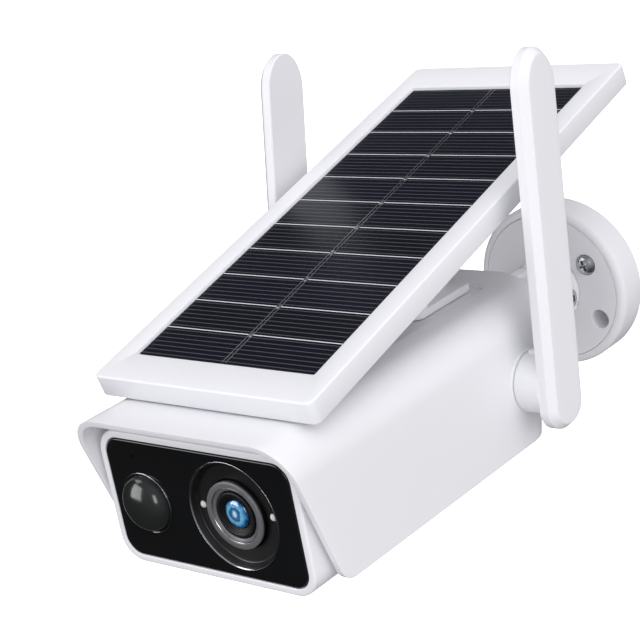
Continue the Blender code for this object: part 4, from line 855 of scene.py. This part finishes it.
def makeSaddle():
    hinge = Vector(joints["panel_tilt"]["pos_m"])
    low = hood["top"] - 0.5 * mm
    parts = [slab(rectangle(-23.3 * mm, 23.3 * mm, hinge.y - 17 * mm, hinge.y + 17 * mm,
                            4 * mm), low, low + 3 * mm, 0.6 * mm)]
    height = hinge.z - low
    for sign in (-1, 1):
        ear = rounded([(-15 * mm, -height + 0.6 * mm, 0), (15 * mm, -height + 0.6 * mm, 0),
                       (11 * mm, -height + 5 * mm, 4 * mm), (6.6 * mm, 6.4 * mm, 6.2 * mm),
                       (-6.6 * mm, 6.4 * mm, 6.2 * mm), (-11 * mm, -height + 5 * mm, 4 * mm)],
                      8)
        shape = slab(ear, -2.25 * mm, 2.25 * mm, 0.6 * mm)
        parts.append(moved(shape, Matrix.Translation((sign * 13.05 * mm, hinge.y, hinge.z))
                           @ standUp))
    tab = slab(rectangle(-2.5 * mm, 2.5 * mm, -4.5 * mm, 4.5 * mm, 1.6 * mm), -1.2 * mm,
               1.2 * mm, 0.4 * mm)
    slot = slab(rectangle(-1 * mm, 1 * mm, -0.8 * mm, 2.8 * mm, 0.95 * mm), -4 * mm, 4 * mm, 0)
    tab = carve(tab, slot)
    parts.append(moved(tab, Matrix.Translation((21.3 * mm, hinge.y - 12 * mm, low + 4.6 * mm))
                       @ standUp))
    finishPiece("hinge_saddle", together(*parts), whiteAbs, "camera",
                ["hinge_base"])
    pin = lathe([(0, 18.3 * mm, 0), (4.2 * mm, 18.3 * mm, 0.8 * mm),
                 (4.2 * mm, 15.6 * mm, 0.2 * mm), (2.5 * mm, 15.6 * mm, 0),
                 (2.5 * mm, -17.2 * mm, 0.5 * mm), (0, -17.2 * mm, 0)], 64)
    finishPiece("hinge_rod", pin, steel, "camera", ["hinge_pin"],
                Matrix.Translation(hinge) @ alongX)


makePanelFrame()
makeBacksheet()
makeRibbon()
makeBracket()
makeSaddle()
print("panel made")


def makeAntenna(side):
    paddle = {"half": 10 * mm, "thick": 6.4 * mm, "up": 117.5 * mm, "down": 16 * mm,
              "topArch": 13.5 * mm, "footArch": 9 * mm, "slopeIn": 2.25 * mm,
              "slopeDeep": 2.7 * mm, "edge": 0.45 * mm, "drum": 11 * mm, "gap": 0.3 * mm}
    pivot = Vector(joints["antenna_" + side + "_turn"]["pos_m"])
    sign = math.copysign(1, pivot.x)
    points = [vert.co for vert in frame["nodes"]["antenna_" + side].data.vertices]
    peak = max(point.z for point in points)
    tips = [point for point in points if point.z > peak - 1 * mm]
    tip = sum(tips, Vector()) / len(tips)
    lean = math.atan2(tip.y - pivot.y, tip.z - pivot.z)
    half = paddle["half"]
    outline = []
    for count in range(0, 25):
        turn = math.pi * count / 24
        outline.append(Vector((half * math.cos(turn), paddle["up"] - paddle["topArch"]
                               + paddle["topArch"] * math.sin(turn))))
    for count in range(0, 25):
        turn = math.pi * count / 24
        outline.append(Vector((-half * math.cos(turn), paddle["footArch"] - paddle["down"]
                               - paddle["footArch"] * math.sin(turn))))
    edge = paddle["edge"]
    line = [(edge, 0, 0), (0, edge, 0), (0, paddle["thick"] - paddle["slopeDeep"], 0.9 * mm),
            (paddle["slopeIn"], paddle["thick"], 0.8 * mm), (5 * mm, paddle["thick"], 0)]
    profile = [tuple(point) for point in rounded(line, 4, False)]
    blade = sweep(outline, profile)
    # outline x is the blade's width, outline y its length, height its thickness
    stand = Matrix(((0, 0, sign, 0), (1, 0, 0, 0), (0, 1, 0, 0), (0, 0, 0, 1)))
    moved(blade, stand)
    face = hood["half"] + hood["landProud"] + paddle["gap"]
    length = abs(pivot.x) - face
    drum = lathe([(0, 0.6 * mm, 0), (paddle["drum"], 0.6 * mm, 0),
                  (paddle["drum"], -length, 0.5 * mm), (0, -length, 0)], 96)
    moved(drum, Matrix.Rotation(math.radians(90 * sign), 4, "Y"))
    rib = slab(rectangle(-length + 1.4 * mm, 0.2 * mm, -2.4 * mm, 2.4 * mm, 0.6 * mm, 3),
               paddle["drum"] - 1.5 * mm, paddle["drum"] + 1.1 * mm, 0.35 * mm)
    moved(rib, Matrix.Scale(sign, 4, (1, 0, 0)))
    spigot = lathe([(0, -length, 0), (6 * mm, -length, 0),
                    (6 * mm, -length - 9.6 * mm, 0.6 * mm), (0, -length - 9.6 * mm, 0)], 64)
    moved(spigot, Matrix.Rotation(math.radians(90 * sign), 4, "Y"))
    place = Matrix.Translation(pivot) @ Matrix.Rotation(-lean, 4, "X")
    finishPiece("antenna_blade_" + side, together(blade, drum, rib, spigot), whiteAbs,
                "antenna_" + side, ["antenna_" + side], place)


makeAntenna("left")
makeAntenna("right")
print("antennas made")


wallSide = Matrix.Rotation(math.radians(90), 4, "X")
bracket = {"circle": 24.8 * mm, "hole": 2.5 * mm, "access": 3.9 * mm, "tube": 4.5 * mm,
           "post": 3.4 * mm, "pilot": 1.6 * mm, "recess": 2.9 * mm, "seat": 30.45 * mm,
           "inside": 29 * mm, "floor": 3 * mm, "hubBore": 12.3 * mm, "plate": 2.6 * mm}
wallHoles = [(bracket["circle"] * math.cos(math.radians(a)),
              bracket["circle"] * math.sin(math.radians(a))) for a in (-30, 90, 210)]


def makeBase():
    low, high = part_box("wall_base")
    radius = high.x
    depth = -low.y
    recess = depth - bracket["recess"]
    inside, seat, pilot = bracket["inside"], bracket["seat"], bracket["pilot"]
    shape = lathe([(0, bracket["floor"], 0), (inside, bracket["floor"], 0.5 * mm),
                   (inside, recess, 0), (seat, recess, 0), (seat, depth, 0.15 * mm),
                   (radius, depth, 2.9 * mm), (radius, 0, 0.6 * mm), (0, 0, 0)], 128, False, 8)
    for x, z in wallHoles:
        hole = lathe([(0, 9 * mm, 0), (bracket["hole"], 9 * mm, 0),
                      (bracket["hole"], -9 * mm, 0), (0, -9 * mm, 0)], 32)
        shape = carve(shape, moved(hole, Matrix.Translation((x, z, 0))))
    parts = [shape]
    for x, z in wallHoles:
        tube = lathe([(bracket["access"], 2.5 * mm, 0), (bracket["tube"], 2.5 * mm, 0),
                      (bracket["tube"], depth - 2.8 * mm, 0),
                      (bracket["access"], depth - 2.8 * mm, 0)], 48, True)
        parts.append(moved(tube, Matrix.Translation((x, z, 0))))
    for name in ("base_screw_upper", "base_screw_lower"):
        low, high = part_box(name)
        spot = ((low.x + high.x) / 2, (low.z + high.z) / 2, 0)
        post = lathe([(pilot, 2.5 * mm, 0), (bracket["post"], 2.5 * mm, 0),
                      (bracket["post"], recess, 0.2 * mm), (pilot, recess, 0)], 32, True)
        parts.append(moved(post, Matrix.Translation(spot)))
    finishPiece("wall_cup", together(*parts), whiteAbs, "base",
                ["wall_base"], wallSide)


def makeCover():
    low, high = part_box("base_cover")
    depth = -low.y
    bore, under, access = bracket["hubBore"], depth - bracket["plate"], bracket["access"]
    pilot = bracket["pilot"]
    shape = lathe([(bore, under, 0), (high.x, under, 0), (high.x, depth, 0.12 * mm),
                   (bore, depth, 0.3 * mm)], 128, True)
    for x, z in wallHoles:
        hole = lathe([(0, depth + mm, 0), (5.1 * mm, depth + mm, 0),
                      (access, depth - 0.2 * mm, 0), (access, depth - 5 * mm, 0),
                      (0, depth - 5 * mm, 0)], 48)
        shape = carve(shape, moved(hole, Matrix.Translation((x, z, 0))))
    for name in ("base_screw_upper", "base_screw_lower"):
        near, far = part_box(name)
        spot = ((near.x + far.x) / 2, (near.z + far.z) / 2, 0)
        seat = lathe([(0, depth + mm, 0), (4.8 * mm, depth + mm, 0),
                      (4.4 * mm, depth, 0), (4.35 * mm, depth - 1 * mm, 0),
                      (pilot, depth - 1 * mm, 0), (pilot, depth - 5 * mm, 0),
                      (0, depth - 5 * mm, 0)], 48)
        shape = carve(shape, moved(seat, Matrix.Translation(spot)))
    finishPiece("wall_plate", shape, whiteAbs, "base", ["base_cover"],
                wallSide)


def makeScrew(name):
    low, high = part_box(name)
    screw = {"crown": 0.6 * mm, "head": 4.1 * mm, "under": 2.3 * mm, "shank": 1.3 * mm,
             "blade": 2.3 * mm, "bladeHalf": 0.6 * mm, "taper": 0.35 * mm}
    top = screw["crown"] - low.y
    wide, under, shank = screw["head"], top - screw["under"], screw["shank"]
    head = [(0, top, 0), (1.6 * mm, top, 0), (3.2 * mm, top - 0.5 * mm, 1 * mm),
            (wide, top - 1.5 * mm, 0.4 * mm), (wide, under, 0),
            (shank, under, 0), (shank, 9 * mm, 0.2 * mm), (0, 8.4 * mm, 0)]
    shape = lathe(head, 64)
    for angle in (20, 110):
        blade = sweep(rectangle(-screw["blade"], screw["blade"], -screw["bladeHalf"],
                                screw["bladeHalf"], 0),
                      [(screw["taper"], top - 1.9 * mm), (0, top + 0.5 * mm)])
        shape = carve(shape, moved(blade, Matrix.Rotation(math.radians(angle), 4, "Z")))
    finishPiece(name + "_fine", shape, steel, "base", [name],
                wallSide @ Matrix.Translation(((low.x + high.x) / 2,
                                               (low.z + high.z) / 2, 0)))


# a plate in the y, z plane with a round nose at the pivot, thick along x
def knuckle(reach, radius, middle, thick, edge):
    outline = rounded([(-radius, radius, radius * 0.99), (-radius, -radius, radius * 0.99),
                       (reach, -radius, 0), (reach, radius, 0)], 14)
    shape = slab(outline, middle - thick / 2, middle + thick / 2, edge)
    return moved(shape, standUp)


def makeHub():
    pivot = joints["mount_tilt"]["pos_m"]
    # the flange sits behind the plate, the neck passes it, the cap turns in front
    hub = {"cap": 13.8 * mm, "neck": 12 * mm, "flange": 15 * mm}
    head = lathe([(0, 17 * mm, 0), (hub["cap"], 17 * mm, 0.9 * mm),
                  (hub["cap"], 14.3 * mm, 0.2 * mm), (hub["neck"], 14.3 * mm, 0),
                  (hub["neck"], 11 * mm, 0), (hub["flange"], 11 * mm, 0.2 * mm),
                  (hub["flange"], 4 * mm, 0.2 * mm), (0, 4 * mm, 0)], 96)
    parts = [moved(head, wallSide)]
    for sign in (-1, 1):
        ear = knuckle(9 * mm, 8 * mm, sign * 10 * mm, 6 * mm, 0.7 * mm)
        parts.append(moved(ear, Matrix.Translation((0, pivot[1], pivot[2]))))
    finishPiece("swivel_fork", together(*parts), whiteAbs, "hub",
                ["swivel_hub"])


def makeArm():
    pivot = Vector(joints["mount_tilt"]["pos_m"])
    end = pivot.y - bossY - 7 * mm - 0.6 * mm
    shaft = lathe([(0, end, 0), (9 * mm, end, 0.5 * mm), (9 * mm, end - 3 * mm, 1 * mm),
                   (7 * mm, end - 9 * mm, 4 * mm), (7 * mm, 6 * mm, 0), (0, 6 * mm, 0)], 72)
    tongue = knuckle(11 * mm, 7.2 * mm, 0, 13.4 * mm, 0.7 * mm)
    moved(tongue, Matrix.Rotation(math.pi, 4, "Z"))
    parts = [moved(shaft, wallSide), tongue]
    finishPiece("swing_arm", together(*parts), whiteAbs, "arm",
                ["tilt_arm"], Matrix.Translation(pivot))
    low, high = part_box("camera_stud")
    # M6 thread: 1 mm pitch, drawn as rings
    line = [(0, -high.y, 0)]
    for count in range(int((high.y - low.y) / mm)):
        line.append((2.6 * mm, -high.y + count * mm, 0))
        line.append((3.05 * mm, -high.y + (count + 0.5) * mm, 0))
    line += [(2.6 * mm, -low.y, 0), (0, -low.y, 0)]
    finishPiece("threaded_stud", lathe(line, 40), steel, "arm", ["camera_stud"],
                wallSide)


def makeBolt():
    pivot = Vector(joints["mount_tilt"]["pos_m"])
    place = Matrix.Translation(pivot) @ alongX
    line = [(0, 17.3 * mm, 0), (3.6 * mm, 17.3 * mm, 1.2 * mm), (4.6 * mm, 15.4 * mm, 0.5 * mm),
            (4.6 * mm, 13.3 * mm, 0), (2.8 * mm, 13.3 * mm, 0), (2.8 * mm, -12 * mm, 0)]
    for count in range(6):
        line.append((2.45 * mm, -(12.4 + count) * mm, 0))
        line.append((2.75 * mm, -(12.9 + count) * mm, 0))
    line.append((0, -18.5 * mm, 0))
    shape = lathe(line, 48)
    drive = slab(rounded([(2 * mm * math.cos(math.radians(a)), 2 * mm * math.sin(math.radians(a)),
                           0.1 * mm) for a in range(0, 360, 60)], 2), 15.6 * mm, 19 * mm, 0)
    finishPiece("pivot_bolt", carve(shape, drive), steel, "hub", ["tilt_bolt"], place)
    low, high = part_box("tilt_nut")
    corners = [(5.2 * mm * math.cos(math.radians(a)), 5.2 * mm * math.sin(math.radians(a)),
                0.3 * mm) for a in range(0, 360, 60)]
    nut = slab(rounded(corners, 3), low.x, high.x, 0.45 * mm)
    bore = lathe([(0, 0, 0), (3.1 * mm, 0, 0), (3.1 * mm, -30 * mm, 0), (0, -30 * mm, 0)], 40)
    finishPiece("pivot_nut", carve(nut, bore), steel, "hub", ["tilt_nut"], place)


def makeLockNut():
    low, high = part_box("lock_nut")
    outline = []
    for count in range(144):
        turn = 2 * math.pi * count / 144
        dip = max(0.0, math.cos(turn * 9)) ** 3
        radius = 12 * mm - 1.1 * mm * dip
        outline.append(Vector((radius * math.cos(turn), radius * math.sin(turn))))
    shape = slab(outline, -high.y, -low.y, 0.7 * mm)
    bore = lathe([(0, 0, 0), (3.4 * mm, 0, 0), (3.4 * mm, 120 * mm, 0), (0, 120 * mm, 0)], 40)
    finishPiece("hand_nut", carve(shape, bore), whiteAbs, "lock_nut",
                ["lock_nut"], wallSide)


makeBase()
makeCover()
makeScrew("base_screw_upper")
makeScrew("base_screw_lower")
makeHub()
makeArm()
makeBolt()
makeLockNut()
print("wall bracket made")


def makeStudio():
    ground, tree, shader = newFinish("painted_board", Roughness=0.9)
    feed(tree, shader, {"Base Color": linear("#f7f7f7"), "Emission Strength": 1.0,
                        "Emission Color": linear("#ffffff")})
    plane = bmesh.new()
    bmesh.ops.create_grid(plane, x_segments=1, y_segments=1, size=4)
    mesh = bpy.data.meshes.new("floor")
    plane.to_mesh(mesh)
    plane.free()
    floor = bpy.data.objects.new("floor", mesh)
    scene.collection.objects.link(floor)
    floor.location = (0, 0, cadBox[0][2] - 0.3)
    mesh.materials.append(ground)
    floor.visible_glossy = False
    floor.visible_diffuse = False

    # a white surround, brightest up in front on the right; gloss sees a dimmer one
    world = bpy.data.worlds.new("studio")
    scene.world = world
    world.use_nodes = True
    tree = world.node_tree
    ray = addNode(tree, "LightPath", {})
    heading = addNode(tree, "TexCoord", {}).outputs["Generated"]
    toward = addNode(tree, "VectorMath", {0: heading, 1: (0.464, -0.554, 0.69)},
                     operation="DOT_PRODUCT")
    fill = addNode(tree, "MapRange", {"Value": toward.outputs["Value"], "From Min": -0.6,
                                      "From Max": 1.0, "To Min": 0.2, "To Max": 1.28})
    glint = addNode(tree, "MapRange", {"Value": toward.outputs["Value"], "From Min": 0.0,
                                       "From Max": 1.0, "To Min": 0.035, "To Max": 0.5})
    soft = addNode(tree, "MixRGB", {"Fac": ray.outputs["Is Glossy Ray"],
                                    "Color1": fill.outputs["Result"],
                                    "Color2": glint.outputs["Result"]})
    cool = addNode(tree, "MixRGB", {"Fac": 1.0, "Color1": soft.outputs["Color"],
                                    "Color2": (0.995, 0.99, 1.02, 1)}, blend_type="MULTIPLY")
    seen = addNode(tree, "MixRGB", {"Fac": ray.outputs["Is Camera Ray"],
                                    "Color1": cool.outputs["Color"],
                                    "Color2": (1.05, 1.05, 1.05, 1)})
    tree.links.new(seen.outputs["Color"], tree.nodes["Background"].inputs["Color"])

    # fill lamps light the body without being mirrored; glint lamps are only mirrored
    lamps = {"fillTop": ((0.3, -0.3, 1.3), 1.2, 1.2, 0.6, True),
             "fillRight": ((1.2, -0.45, 0.55), 1.0, 0.9, 3.0, True),
             "fillFront": ((0.5, -1.1, 0.62), 0.7, 1.0, 0.9, True),
             "glintLeft": ((-0.84, -1.2, 0.34), 0.75, 0.85, 11.0, False),
             "glintRight": ((0.4, -1.0, 0.2), 0.22, 0.4, 1.9, False),
             "glintHigh": ((-0.75, -0.55, 0.85), 0.5, 0.4, 2.0, False)}
    for name, (spot, wide, high, power, fills) in lamps.items():
        lamp = bpy.data.lights.new(name, "AREA")
        lamp.shape = "RECTANGLE"
        lamp.size = wide
        lamp.size_y = high
        lamp.energy = power
        item = bpy.data.objects.new(name, lamp)
        scene.collection.objects.link(item)
        item.location = spot
        item.visible_glossy = not fills
        item.visible_diffuse = fills
        aim = Vector((0, -0.15, 0)) - Vector(spot)
        item.rotation_euler = aim.to_track_quat("-Z", "Y").to_euler()

    eye = bpy.data.cameras.new("eye")
    eye.lens = 98.2
    eye.sensor_width = 36
    view = bpy.data.objects.new("eye", eye)
    scene.collection.objects.link(view)
    view.location = (0.38881, -0.5716, 0.22833)
    view.rotation_euler = [math.radians(a) for a in (71.328, 10.478, 39.377)]
    scene.camera = view


makeStudio()
print("studio made")
